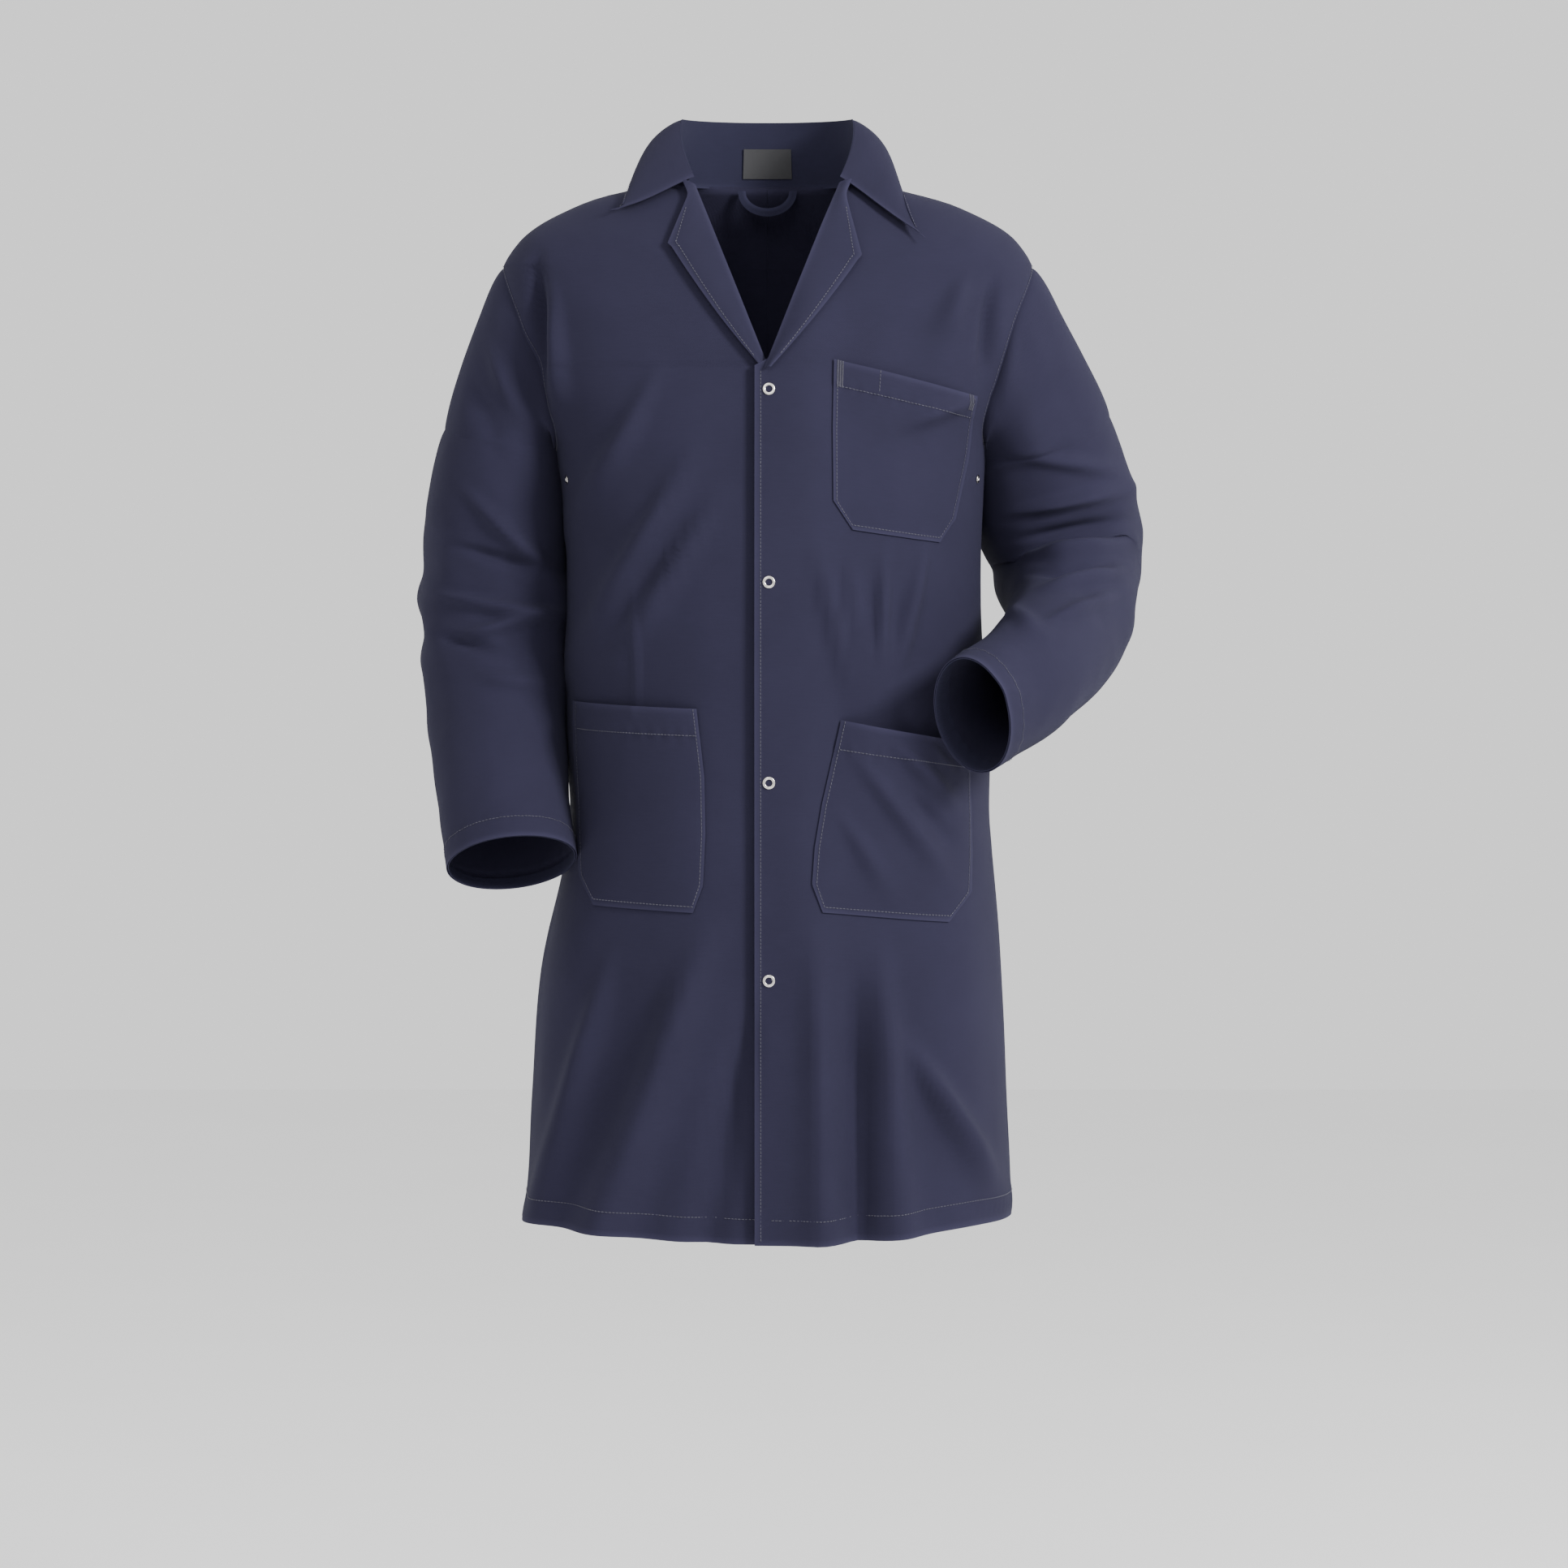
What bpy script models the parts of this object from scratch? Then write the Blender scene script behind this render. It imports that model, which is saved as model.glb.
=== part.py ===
"""Lab coat in its worn shape, modelled as separate sewn pieces with snap fasteners.

Metres, +Z up, the coat's front faces -Y and the wearer's left is +X. The origin is the
middle of the neck opening, at the height of the neck seam.
"""
import math

import bmesh
import bpy
from mathutils import Vector

# driving dimensions
NECK_HEIGHT = 1.055          # neck seam above the lowest hem
CLOTH = 0.0016               # cloth thickness
SEAM_GAP = 0.0012            # gap between neighbouring sewn pieces
SEAM_TURN = 0.0018          # the same gap at the side and centre-back seams, in turns
ROUNDNESS = 2.4              # exponent of the body's cross-section
OVERLAP_LIFT = 0.0080        # how far the lapped left front stands off the right one
LEFT_EDGE = -0.012           # free edge of the left front, from the centre line
RIGHT_EDGE = 0.028           # free edge of the right front, under the left one
LAPEL_BREAK = 0.862          # height where the lapel's fold line meets the front edge
NECK_HALF = 0.075            # half width of the neck opening at the top of that fold
NECK_FOLD = 1.050
SNAP_HEIGHTS = (0.838, 0.650, 0.455, 0.261)
SNAP_RADIUS = 0.0062
SNAP_HOLE = 0.0032
FOLD_TOP = (0.088, 1.040)    # the line about which a front opens: across, height
FOLD_SLOPE = 0.107
DOOR_TOP = 0.985             # the opening part of a front ends here

# stations up the body: height, half width on the right and left, depth to front and back
STATIONS = (
    (0.000, 0.243, 0.246, 0.165, 0.140),
    (0.130, 0.238, 0.240, 0.166, 0.139),
    (0.260, 0.229, 0.234, 0.166, 0.137),
    (0.380, 0.203, 0.226, 0.166, 0.134),
    (0.480, 0.194, 0.216, 0.166, 0.130),
    (0.600, 0.192, 0.206, 0.163, 0.122),
    (0.720, 0.194, 0.207, 0.150, 0.118),
    (0.790, 0.207, 0.215, 0.138, 0.120),
    (0.850, 0.244, 0.246, 0.127, 0.121),
    (0.910, 0.263, 0.263, 0.112, 0.117),
    (0.958, 0.267, 0.267, 0.094, 0.106),
    (0.988, 0.250, 0.250, 0.080, 0.095),
    (1.007, 0.226, 0.226, 0.068, 0.086),
    (1.025, 0.190, 0.190, 0.056, 0.077),
    (1.036, 0.155, 0.155, 0.049, 0.071),
    (1.045, 0.112, 0.112, 0.045, 0.067),
)
ARMHOLE_MIDDLE = 0.873
ARMHOLE_HALF = 0.090
ARMHOLE_REACH = 0.27         # half width of the armhole, as a share of the quarter section

NAVY = (0.032, 0.032, 0.068)
NICKEL = (0.62, 0.60, 0.58)
LABEL_GREY = (0.10, 0.10, 0.11)
THIN_CLOTH = 0.0010          # facings and cuff hems, one layer of the cloth pressed flat
FACING_GAP = 0.0013          # between a front and the facing behind it
FACING_EDGE = 0.046          # the facing's inner edge, from the centre line

# collar: neck curve, height of its foot and of its fold, and its two points
NECK_ACROSS = 0.086
NECK_DEPTH = 0.074
STAND_LOW = 1.0485
STAND_LEAN = 0.006           # how much wider the stand is at its foot than at its fold
STAND_GAP = 0.003            # from the stand's top to the fold
COLLAR_TOP = 1.112
COLLAR_DROP = 0.062          # how far the fold falls from the back to the lapels
POINT_ACROSS = 0.156
LEFT_POINT = 0.998
RIGHT_POINT = 1.022
POINT_FORWARD = 0.020        # how far the points stand in front of the fronts

LABEL_LOW, LABEL_HIGH = 1.056, 1.086
LABEL_TURN = math.radians(16)
EYELET_TURN, EYELET_HEIGHT = -0.16, 0.752

# snaps: the ring parts under the cloth and the stud
SOCKET_RADIUS, SOCKET_HOLE = 0.0052, 0.0028
STUD_RADIUS, STUD_HOLE = 0.0026, 0.0012
SNAP_CLEAR = 0.0004          # between a snap's part and the cloth it sits on

LOOP_HALF = 0.030
LOOP_DROP = 0.026
LOOP_TOP = 1.043


def at(across, depth, height):
    """A point from its height above the hem."""
    return Vector((across, depth, height - NECK_HEIGHT))


def station(height):
    """Half widths and depths of the body at a height, on a smooth curve through the stations."""
    rows = STATIONS
    height = min(max(height, rows[0][0]), rows[-1][0])
    i = max(k for k in range(len(rows) - 1) if rows[k][0] <= height)
    a, b = rows[i], rows[i + 1]
    before = rows[max(i - 1, 0)]
    after = rows[min(i + 2, len(rows) - 1)]
    span = b[0] - a[0]
    t = (height - a[0]) / span
    values = []
    for k in range(1, 5):
        slope_a = (b[k] - before[k]) / (b[0] - before[0]) * span
        slope_b = (after[k] - a[k]) / (after[0] - a[0]) * span
        values.append(
            a[k] * (2 * t**3 - 3 * t**2 + 1)
            + slope_a * (t**3 - 2 * t**2 + t)
            + b[k] * (3 * t**2 - 2 * t**3)
            + slope_b * (t**3 - t**2)
        )
    return values


def body_at(side, turn, height):
    """A point of the body; side is -1 right or +1 left, turn runs from -1 front to +1 back."""
    right, left, front, back = station(height)
    half = left if side > 0 else right
    depth = back if turn > 0 else -front
    angle = abs(turn) * math.pi / 2
    power = 2 / ROUNDNESS
    across = side * half * max(math.cos(angle), 0) ** power
    return at(across, depth * math.sin(angle) ** power, height)


def outward(side, turn, height):
    """The body's outward direction, from the points around this one."""
    low, high = max(height - 0.006, 0.0), min(height + 0.006, STATIONS[-1][0])
    before, after = max(turn - 0.02, -1), min(turn + 0.02, 1)
    up = body_at(side, turn, high) - body_at(side, turn, low)
    along = body_at(side, after, height) - body_at(side, before, height)
    normal = along.cross(up) if side > 0 else up.cross(along)
    return normal.normalized()


def turn_at(across, height):
    """The turn on the front at which the body is this far across."""
    side = 1 if across > 0 else -1
    half = station(height)[1 if side > 0 else 0]
    share = min(abs(across) / half, 0.999)
    return -math.acos(share ** (ROUNDNESS / 2)) * 2 / math.pi


def front_at(across, height, lift=0.0):
    """A point on the front, lifted off the body's surface."""
    side = 1 if across >= 0 else -1
    turn = turn_at(across, height) if abs(across) > 1e-6 else -1.0
    return body_at(side, turn, height) + outward(side, turn, height) * lift


def lap_lift(across):
    """How far the left front is lifted, fading out away from the edge."""
    t = min(max((0.085 - across) / 0.055, 0), 1)
    return OVERLAP_LIFT * t * t * (3 - 2 * t)


def fold_across(height):
    return FOLD_TOP[0] + (FOLD_TOP[1] - height) * FOLD_SLOPE


def roll_across(height):
    """The lapel's fold line, from the front edge up to the neck."""
    return NECK_HALF * (height - LAPEL_BREAK) / (NECK_FOLD - LAPEL_BREAK)


def armhole_turn(height):
    """Half width of the armhole at a height, in turns, or nothing clear of it."""
    share = (height - ARMHOLE_MIDDLE) / ARMHOLE_HALF
    return ARMHOLE_REACH * math.sqrt(max(1 - share * share, 0))


def material(name, colour, roughness, metallic=0.0):
    found = bpy.data.materials.get(name)
    if found:
        return found
    made = bpy.data.materials.new(name)
    made.use_nodes = True
    shader = made.node_tree.nodes["Principled BSDF"]
    shader.inputs["Base Color"].default_value = (*colour, 1.0)
    shader.inputs["Roughness"].default_value = roughness
    shader.inputs["Metallic"].default_value = metallic
    made.diffuse_color = (*colour, 1.0)
    return made


def cloth_material(name):
    return material(name, NAVY, 0.82)


def add_object(name, mesh, finish):
    mesh.materials.append(finish)
    obj = bpy.data.objects.new(name, mesh)
    bpy.context.scene.collection.objects.link(obj)
    return obj


def sheet(name, rows, inside, closed=False, thickness=CLOTH, finish=None):
    """A cloth piece from rows of points on its outer face; closed rows make a tube.

    inside is a point that the cloth's inner face looks to.
    """
    mesh = bpy.data.meshes.new(name)
    made = bmesh.new()
    grid = [[made.verts.new(p) for p in row] for row in rows]
    across = len(grid[0])
    for low, high in zip(grid, grid[1:]):
        for i in range(across if closed else across - 1):
            j = (i + 1) % across
            made.faces.new((low[i], low[j], high[j], high[i]))
    made.faces.ensure_lookup_table()
    middle = made.faces[len(made.faces) // 2]
    middle.normal_update()
    if middle.normal.dot(middle.calc_center_median() - inside) < 0:
        bmesh.ops.reverse_faces(made, faces=made.faces)
    made.to_mesh(mesh)
    made.free()
    obj = add_object(name, mesh, finish or cloth_material(name + "_cloth"))
    solid = obj.modifiers.new("cloth", "SOLIDIFY")
    solid.thickness = thickness
    solid.offset = -1.0
    solid.use_even_offset = False


def steps(start, end, count):
    return [start + (end - start) * i / (count - 1) for i in range(count)]


def heights(low, high, extra=()):
    """Rows about 60 mm apart, closer over the shoulders where the body slopes."""
    wanted = [low, high]
    wanted += [h for h in steps(0.0, 0.765, 14) if low + 0.012 < h < high - 0.012]
    upper = [0.785, 0.80, 0.835, 0.875, 0.915, 0.945, 0.960, 0.975, 0.992, 1.010, 1.025, 1.035]
    wanted += [h for h in upper if low + 0.004 < h < high - 0.004]
    return sorted(wanted + list(extra))


INNER = at(0.0, 0.0, 0.6)


def back_panel(name, side):
    """From the centre-back seam to the side seam, the armhole and the shoulder seam."""
    rows = []
    for height in heights(0.012, 1.043):
        end = armhole_turn(height) + SEAM_TURN
        start = 1 - SEAM_TURN
        rows.append([body_at(side, t, height) for t in steps(start, end, 9)])
    sheet(name, rows, inside=INNER)


def side_front(name, side):
    """The front's outer part, from the fold line to the side seam, armhole and shoulder."""
    rows = []
    for height in heights(0.012, 1.043, extra=(DOOR_TOP, DOOR_TOP + 0.004)):
        inner = fold_across(height) + SEAM_GAP
        if height > DOOR_TOP + 0.001:
            inner = roll_across(min(height, NECK_FOLD)) + 0.001
        start = turn_at(side * inner, height)
        end = -armhole_turn(height) - SEAM_TURN
        rows.append([body_at(side, t, height) for t in steps(start, end, 7)])
    sheet(name, rows, inside=INNER)


def opening_front(name, side):
    """The front's inner part, which swings open, from its free edge to the fold line."""
    rows = []
    for height in heights(0.0, DOOR_TOP - 0.003, extra=(LAPEL_BREAK - 0.004, LAPEL_BREAK + 0.004)):
        edge = LEFT_EDGE if side > 0 else -RIGHT_EDGE
        if height > LAPEL_BREAK:
            edge = roll_across(height) + 0.001
        outer = fold_across(height) - SEAM_GAP
        row = []
        for across in steps(edge, outer, 9):
            lift = lap_lift(across) if side > 0 else 0.0
            row.append(front_at(side * across, height, lift))
        rows.append(row)
    sheet(name, rows, inside=INNER)


def facing(name, side):
    """The strip folded in behind the front edge, which carries the snaps."""
    rows = []
    for height in heights(0.004, LAPEL_BREAK - 0.006):
        edge = LEFT_EDGE if side > 0 else -RIGHT_EDGE
        row = []
        for across in steps(edge + 0.001, FACING_EDGE, 5):
            lift = lap_lift(across) if side > 0 else 0.0
            row.append(front_at(side * across, height, lift - CLOTH - FACING_GAP))
        rows.append(row)
    sheet(name, rows, thickness=THIN_CLOTH, inside=INNER)


def lapel(name, side, point_across, point_height):
    """The turned-back upper front: a long triangle that lies on the front."""
    notch = (0.078, 1.026)
    rows = []
    for t in steps(0.03, 0.97, 10):
        height = LAPEL_BREAK + 0.004 + (NECK_FOLD - LAPEL_BREAK - 0.01) * t
        inner = roll_across(height) + 0.0005
        reach = (point_height - LAPEL_BREAK) / (NECK_FOLD - LAPEL_BREAK)
        if t < reach:
            outer_t = t / reach
            outer = 0.012 + (point_across - 0.012) * outer_t
        else:
            outer_t = (t - reach) / (1 - reach)
            outer = point_across + (notch[0] - point_across) * outer_t
        outer = max(outer, inner + 0.009)
        row = []
        for s in steps(0.0, 1.0, 5):
            across = inner + (outer - inner) * s
            lift = 0.0042 + 0.0030 * math.sin(math.pi * s) + (lap_lift(across) if side > 0 else 0.0)
            row.append(front_at(side * across, min(height, 1.040), lift))
        rows.append(row)
    sheet(name, rows, inside=INNER)


def patch_pocket(name, side, corners, bulge):
    """A patch sewn down on three sides; its top edge stands off so a hand goes in.

    corners are the top inner, top outer, bottom outer and bottom inner corner, each as
    across and height.
    """
    (ax, az), (bx, bz), (cx, cz), (dx, dz) = corners
    rows = []
    count = 9
    for j, v in enumerate(steps(0.0, 1.0, count)):
        row = []
        for i, u in enumerate(steps(0.0, 1.0, count)):
            top = (ax + (bx - ax) * u, az + (bz - az) * u)
            low = (dx + (cx - dx) * u, dz + (cz - dz) * u)
            across = low[0] + (top[0] - low[0]) * v
            height = low[1] + (top[1] - low[1]) * v
            edge = math.sin(math.pi * u) ** 0.6 if 0 < u < 1 else 0.0
            rise = math.sin(math.pi / 2 * min(v * 1.6, 1.0)) ** 0.7
            lap = lap_lift(across) if side > 0 else 0.0
            lift = lap + 0.0038 + bulge * edge * rise
            row.append(front_at(side * across, height, lift))
        rows.append(row)
    sheet(name, rows, inside=INNER)


def ring_frame(before, after):
    """Two directions across a tube, the first one as near to sideways as it can be."""
    along = (after - before).normalized()
    sideways = (Vector((1, 0, 0)) - along * along.x).normalized()
    return sideways, along.cross(sideways).normalized()


def sleeve_path(centres, radii, count):
    """Centres and radii along a smooth curve through a sleeve's own points."""
    places = []
    last = len(centres) - 1
    for t in steps(0, last, count):
        i = min(int(t), last - 1)
        s = t - i
        a, b = centres[i], centres[i + 1]
        before = centres[max(i - 1, 0)]
        after = centres[min(i + 2, last)]
        slope_a = (b - before) / 2
        slope_b = (after - a) / 2
        place = a * (2 * s**3 - 3 * s**2 + 1) + slope_a * (s**3 - 2 * s**2 + s)
        place += b * (3 * s**2 - 2 * s**3) + slope_b * (s**3 - s**2)
        ra, rb = radii[i], radii[i + 1]
        places.append((place, ra[0] + (rb[0] - ra[0]) * s, ra[1] + (rb[1] - ra[1]) * s))
    return places


def tube_rows(places, grow=0.0):
    count = 16
    rows = []
    for k, (centre, wide, deep) in enumerate(places):
        before = places[max(k - 1, 0)][0]
        after = places[min(k + 1, len(places) - 1)][0]
        side_way, deep_way = ring_frame(before, after)
        row = []
        for i in range(count):
            angle = 2 * math.pi * i / count
            offset = side_way * (wide + grow) * math.cos(angle)
            offset += deep_way * (deep + grow) * math.sin(angle)
            row.append(centre + offset)
        rows.append(row)
    return rows


def sleeve_head(name, side, first_ring):
    """From the armhole's edge out and down to the top of the upper sleeve."""
    centre = sum(first_ring, Vector()) / len(first_ring)
    rows = []
    for s in steps(0.0, 1.0, 6):
        row = []
        for point in first_ring:
            # the armhole point in the same direction round the ring
            swing = math.atan2(centre.y - point.y, abs(point.x) - abs(centre.x))
            level = ARMHOLE_MIDDLE + (ARMHOLE_HALF - 0.002) * math.cos(swing)
            turn = -ARMHOLE_REACH * math.sin(swing) * 0.985
            start = body_at(side, turn, level)
            start += outward(side, turn, level) * 0.0025
            puff = Vector((side * 0.020, 0, 0.012 * math.cos(swing))) * math.sin(math.pi * s)
            row.append(start.lerp(point, s) + puff)
        rows.append(row)
    sheet(name, rows, closed=True, inside=at(side * 0.25, 0.0, 0.85))


RIGHT_SLEEVE = (
    (-0.268, 0.012, 0.795, 0.054, 0.072),
    (-0.272, 0.020, 0.720, 0.063, 0.077),
    (-0.274, 0.022, 0.630, 0.068, 0.078),
    (-0.272, -0.012, 0.520, 0.065, 0.073),
    (-0.265, -0.062, 0.430, 0.060, 0.066),
    (-0.257, -0.095, 0.372, 0.061, 0.059),
)
LEFT_SLEEVE = (
    (0.280, 0.020, 0.800, 0.066, 0.070),
    (0.296, 0.045, 0.730, 0.074, 0.074),
    (0.312, 0.052, 0.665, 0.068, 0.076),
    (0.303, -0.020, 0.608, 0.060, 0.070),
    (0.262, -0.120, 0.562, 0.054, 0.064),
    (0.200, -0.190, 0.522, 0.046, 0.064),
)


def sleeve(side, table, upper_end, lower_start):
    """Head, upper sleeve, lower sleeve and the hem inside the cuff of one arm."""
    word = "left" if side > 0 else "right"
    centres = [at(*row[:3]) for row in table]
    radii = [row[3:] for row in table]
    places = sleeve_path(centres, radii, 21)
    rows = tube_rows(places)
    sleeve_head(word + "_sleeve_head", side, rows[0])
    sheet(word + "_upper_sleeve", rows[1:upper_end], closed=True, inside=places[4][0])
    sheet(word + "_lower_sleeve", rows[lower_start:], closed=True, inside=places[16][0])
    hem = tube_rows(places, grow=-CLOTH - SNAP_CLEAR)[-3:]
    sheet(word + "_cuff_hem", hem, closed=True, thickness=THIN_CLOTH, inside=places[-3][0])


def neck_ring(angle, spread, height):
    """A point on the neck's curve; angle 0 is centre back, positive to the wearer's left."""
    across = (NECK_ACROSS + spread) * math.sin(angle)
    depth = (NECK_DEPTH + spread) * math.cos(angle)
    return at(across, depth, height)


def fold_height(angle):
    """The collar's fold: level round the back, falling to the lapel in front."""
    share = max((abs(angle) - math.radians(80)) / math.radians(45), 0)
    return COLLAR_TOP - COLLAR_DROP * share ** 1.2


def collar_stand():
    rows = []
    angles = steps(-math.radians(118), math.radians(118), 21)
    for s in steps(0.0, 1.0, 4):
        row = []
        for angle in angles:
            top = fold_height(angle) - STAND_GAP
            low = STAND_LOW if abs(angle) < math.radians(95) else 1.046
            low = min(low, top - 0.006)
            row.append(neck_ring(angle, STAND_LEAN * (1 - s), low + (top - low) * s))
        rows.append(row)
    sheet("collar_stand", rows, inside=at(0, 0, 1.08))


def clear_of_front(point, clearance=0.007):
    """The point, moved forward where it would sink into the shoulder or the front."""
    height = point.z + NECK_HEIGHT
    if height > STATIONS[-1][0] or point.y > 0.0:
        return point
    surface = front_at(point.x, height)
    return Vector((point.x, min(point.y, surface.y - clearance), point.z))


def collar_leaf():
    """The outer collar: over the fold, down outside the stand and out to its two points."""
    rows = []
    angles = steps(-math.radians(124), math.radians(124), 29)
    for s in steps(0.0, 1.0, 7):
        row = []
        for angle in angles:
            share = max((abs(angle) - math.radians(62)) / math.radians(62), 0.0)
            start = neck_ring(angle, 0.0015, fold_height(angle) + 0.0006)
            fall = Vector((math.sin(angle) * 0.036, math.cos(angle) * 0.028, -0.052 + 0.006 * math.sin(angle) ** 2))
            side = 1 if angle > 0 else -1
            height = LEFT_POINT if side > 0 else RIGHT_POINT
            point = front_at(side * POINT_ACROSS, height)
            point = at(point.x, point.y - POINT_FORWARD, height)
            end = (start + fall).lerp(point, share ** 1.4)
            arch = Vector((math.sin(angle), math.cos(angle) * 0.8, 0.55)) * 0.011
            row.append(clear_of_front(start.lerp(end, s) + arch * math.sin(math.pi * s) ** 0.8))
        rows.append(row)
    sheet("collar_leaf", rows, inside=at(0, 0, 1.03))


def ring(name, centre, normal, outer, inner, low, high, finish, parts=12):
    """A flat ring about a normal, from low to high along it."""
    sideways = normal.cross(Vector((0, 0, 1))).normalized()
    upwards = sideways.cross(normal).normalized()
    rim = min(0.0006, (high - low) / 3)
    profile = (
        (inner, low), (outer, low), (outer, high - rim),
        (outer - rim, high), (inner + rim, high), (inner, high - rim),
    )
    if parts < 12:
        profile = ((inner, low), (outer, low), (outer, high), (inner, high))
    made = bmesh.new()
    loops = []
    for k in range(parts):
        angle = 2 * math.pi * k / parts
        way = sideways * math.cos(angle) + upwards * math.sin(angle)
        loops.append([made.verts.new(centre + way * r + normal * h) for r, h in profile])
    for k in range(parts):
        here, there = loops[k], loops[(k + 1) % parts]
        for i in range(len(profile)):
            j = (i + 1) % len(profile)
            made.faces.new((here[i], here[j], there[j], there[i]))
    bmesh.ops.recalc_face_normals(made, faces=made.faces)
    mesh = bpy.data.meshes.new(name)
    made.to_mesh(mesh)
    made.free()
    return add_object(name, mesh, finish)


def snaps():
    """Each snap: ring cap outside, socket inside the left front, stud and its ring on the right."""
    nickel = material("snap_nickel", NICKEL, 0.25, 1.0)
    for count, height in enumerate(SNAP_HEIGHTS, start=1):
        top = front_at(0.002, height, OVERLAP_LIFT)
        normal = outward(1, -0.99, height)
        normal.x = 0.0
        normal.normalize()
        inside_left = -CLOTH - FACING_GAP - THIN_CLOTH - SNAP_CLEAR
        ring(f"snap_{count}_ring", top, normal, SNAP_RADIUS, SNAP_HOLE, 0.0006, 0.0020, nickel)
        ring(f"snap_{count}_socket", top, normal, SOCKET_RADIUS, SOCKET_HOLE,
             inside_left - 0.0009, inside_left, nickel, 8)
        ring(f"snap_{count}_stud", top, normal, STUD_RADIUS, STUD_HOLE,
             -OVERLAP_LIFT + 0.0005, inside_left - 0.0013, nickel, 8)
        below = inside_left - OVERLAP_LIFT - 0.0002
        ring(f"snap_{count}_back", top, normal, SOCKET_RADIUS, SOCKET_HOLE,
             below - 0.0009, below, nickel, 8)


def eyelets():
    """A ventilation eyelet on the body under each arm."""
    nickel = material("snap_nickel", NICKEL, 0.25, 1.0)
    for word, side in (("left", 1), ("right", -1)):
        place = body_at(side, EYELET_TURN, EYELET_HEIGHT)
        normal = outward(side, EYELET_TURN, EYELET_HEIGHT)
        ring(word + "_underarm_eyelet", place, normal, 0.0040, 0.0020, 0.0008, 0.0018, nickel)


def hanger_loop():
    """A narrow strap sewn at both ends inside the back neck, hanging as a shallow loop."""
    rows = []
    for s in steps(-1.0, 1.0, 13):
        drop = LOOP_DROP * max(1 - s * s, 0.0) ** 0.5
        across = LOOP_HALF * s
        depth = 0.060 - 0.007 * (1 - s * s)
        outer = at(across, depth, LOOP_TOP - drop)
        inner = at(across * 0.74, depth, LOOP_TOP - drop * 0.68)
        rows.append([inner, outer])
    sheet("hanger_loop", rows, thickness=0.0012, inside=at(0, -0.5, 1.04))


def neck_label():
    """The blank label, on the inner face of the collar stand."""
    rows = []
    stand_height = COLLAR_TOP - STAND_GAP - STAND_LOW
    for height in steps(LABEL_LOW, LABEL_HIGH, 3):
        row = []
        for angle in steps(-LABEL_TURN, LABEL_TURN, 7):
            lean = STAND_LEAN * (1 - (height - STAND_LOW) / stand_height)
            row.append(neck_ring(angle, lean - CLOTH - 0.0008, height))
        rows.append(row)
    finish = material("label_woven", LABEL_GREY, 0.7)
    sheet("neck_label", rows, thickness=0.0006, finish=finish, inside=at(0, 0, 1.07))


def build():
    for obj in list(bpy.data.objects):
        bpy.data.objects.remove(obj, do_unlink=True)
    for word, side in (("left", 1), ("right", -1)):
        back_panel(word + "_back", side)
        side_front(word + "_side_front", side)
        opening_front(word + "_front", side)
        facing(word + "_facing", side)
    lapel("left_lapel", 1, 0.095, 0.976)
    lapel("right_lapel", -1, 0.099, 0.988)
    patch_pocket("chest_pocket", 1, ((0.065, 0.868), (0.206, 0.835), (0.186, 0.690), (0.064, 0.702)), 0.015)
    patch_pocket("left_pocket", 1, ((0.072, 0.516), (0.198, 0.488), (0.202, 0.318), (0.046, 0.330)), 0.022)
    patch_pocket("right_pocket", -1, ((0.064, 0.528), (0.188, 0.532), (0.192, 0.338), (0.066, 0.326)), 0.019)
    sleeve(-1, RIGHT_SLEEVE, 9, 11)
    sleeve(1, LEFT_SLEEVE, 8, 11)
    collar_stand()
    collar_leaf()
    neck_label()
    hanger_loop()
    snaps()
    eyelets()


build()
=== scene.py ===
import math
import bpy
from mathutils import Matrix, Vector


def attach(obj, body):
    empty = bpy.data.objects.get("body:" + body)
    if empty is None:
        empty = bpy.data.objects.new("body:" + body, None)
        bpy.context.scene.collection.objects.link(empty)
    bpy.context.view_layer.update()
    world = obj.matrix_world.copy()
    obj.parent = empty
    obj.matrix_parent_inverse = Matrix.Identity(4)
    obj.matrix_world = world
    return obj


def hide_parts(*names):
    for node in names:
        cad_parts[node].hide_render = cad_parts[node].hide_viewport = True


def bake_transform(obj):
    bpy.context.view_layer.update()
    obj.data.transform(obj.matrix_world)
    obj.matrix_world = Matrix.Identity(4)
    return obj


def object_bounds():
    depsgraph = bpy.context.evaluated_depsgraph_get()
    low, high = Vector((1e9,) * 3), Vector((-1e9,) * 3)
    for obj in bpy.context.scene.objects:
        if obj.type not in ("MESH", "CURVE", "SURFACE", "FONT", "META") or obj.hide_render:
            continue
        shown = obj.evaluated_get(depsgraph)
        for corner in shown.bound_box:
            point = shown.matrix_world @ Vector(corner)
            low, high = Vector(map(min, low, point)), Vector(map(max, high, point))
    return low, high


bl_info = {
    "name": "Lab Coat",
    "version": (1, 0, 0),
    "blender": (4, 5, 0),
    "location": "View3D > Sidebar > Lab Coat",
    "description": "Sews the twill, stitching and snaps of a lab coat around its frame",
    "category": "Object",
}

import bmesh
import bpy
from mathutils import Matrix, Vector, noise

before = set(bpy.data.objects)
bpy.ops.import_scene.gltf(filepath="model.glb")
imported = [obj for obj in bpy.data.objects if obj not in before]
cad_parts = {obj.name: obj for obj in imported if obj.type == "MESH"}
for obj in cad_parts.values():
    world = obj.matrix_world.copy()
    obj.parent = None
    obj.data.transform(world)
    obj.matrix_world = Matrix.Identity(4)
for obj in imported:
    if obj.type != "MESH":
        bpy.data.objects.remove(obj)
CAD_BOX = [list(map(float, corner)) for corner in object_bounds()]

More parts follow.
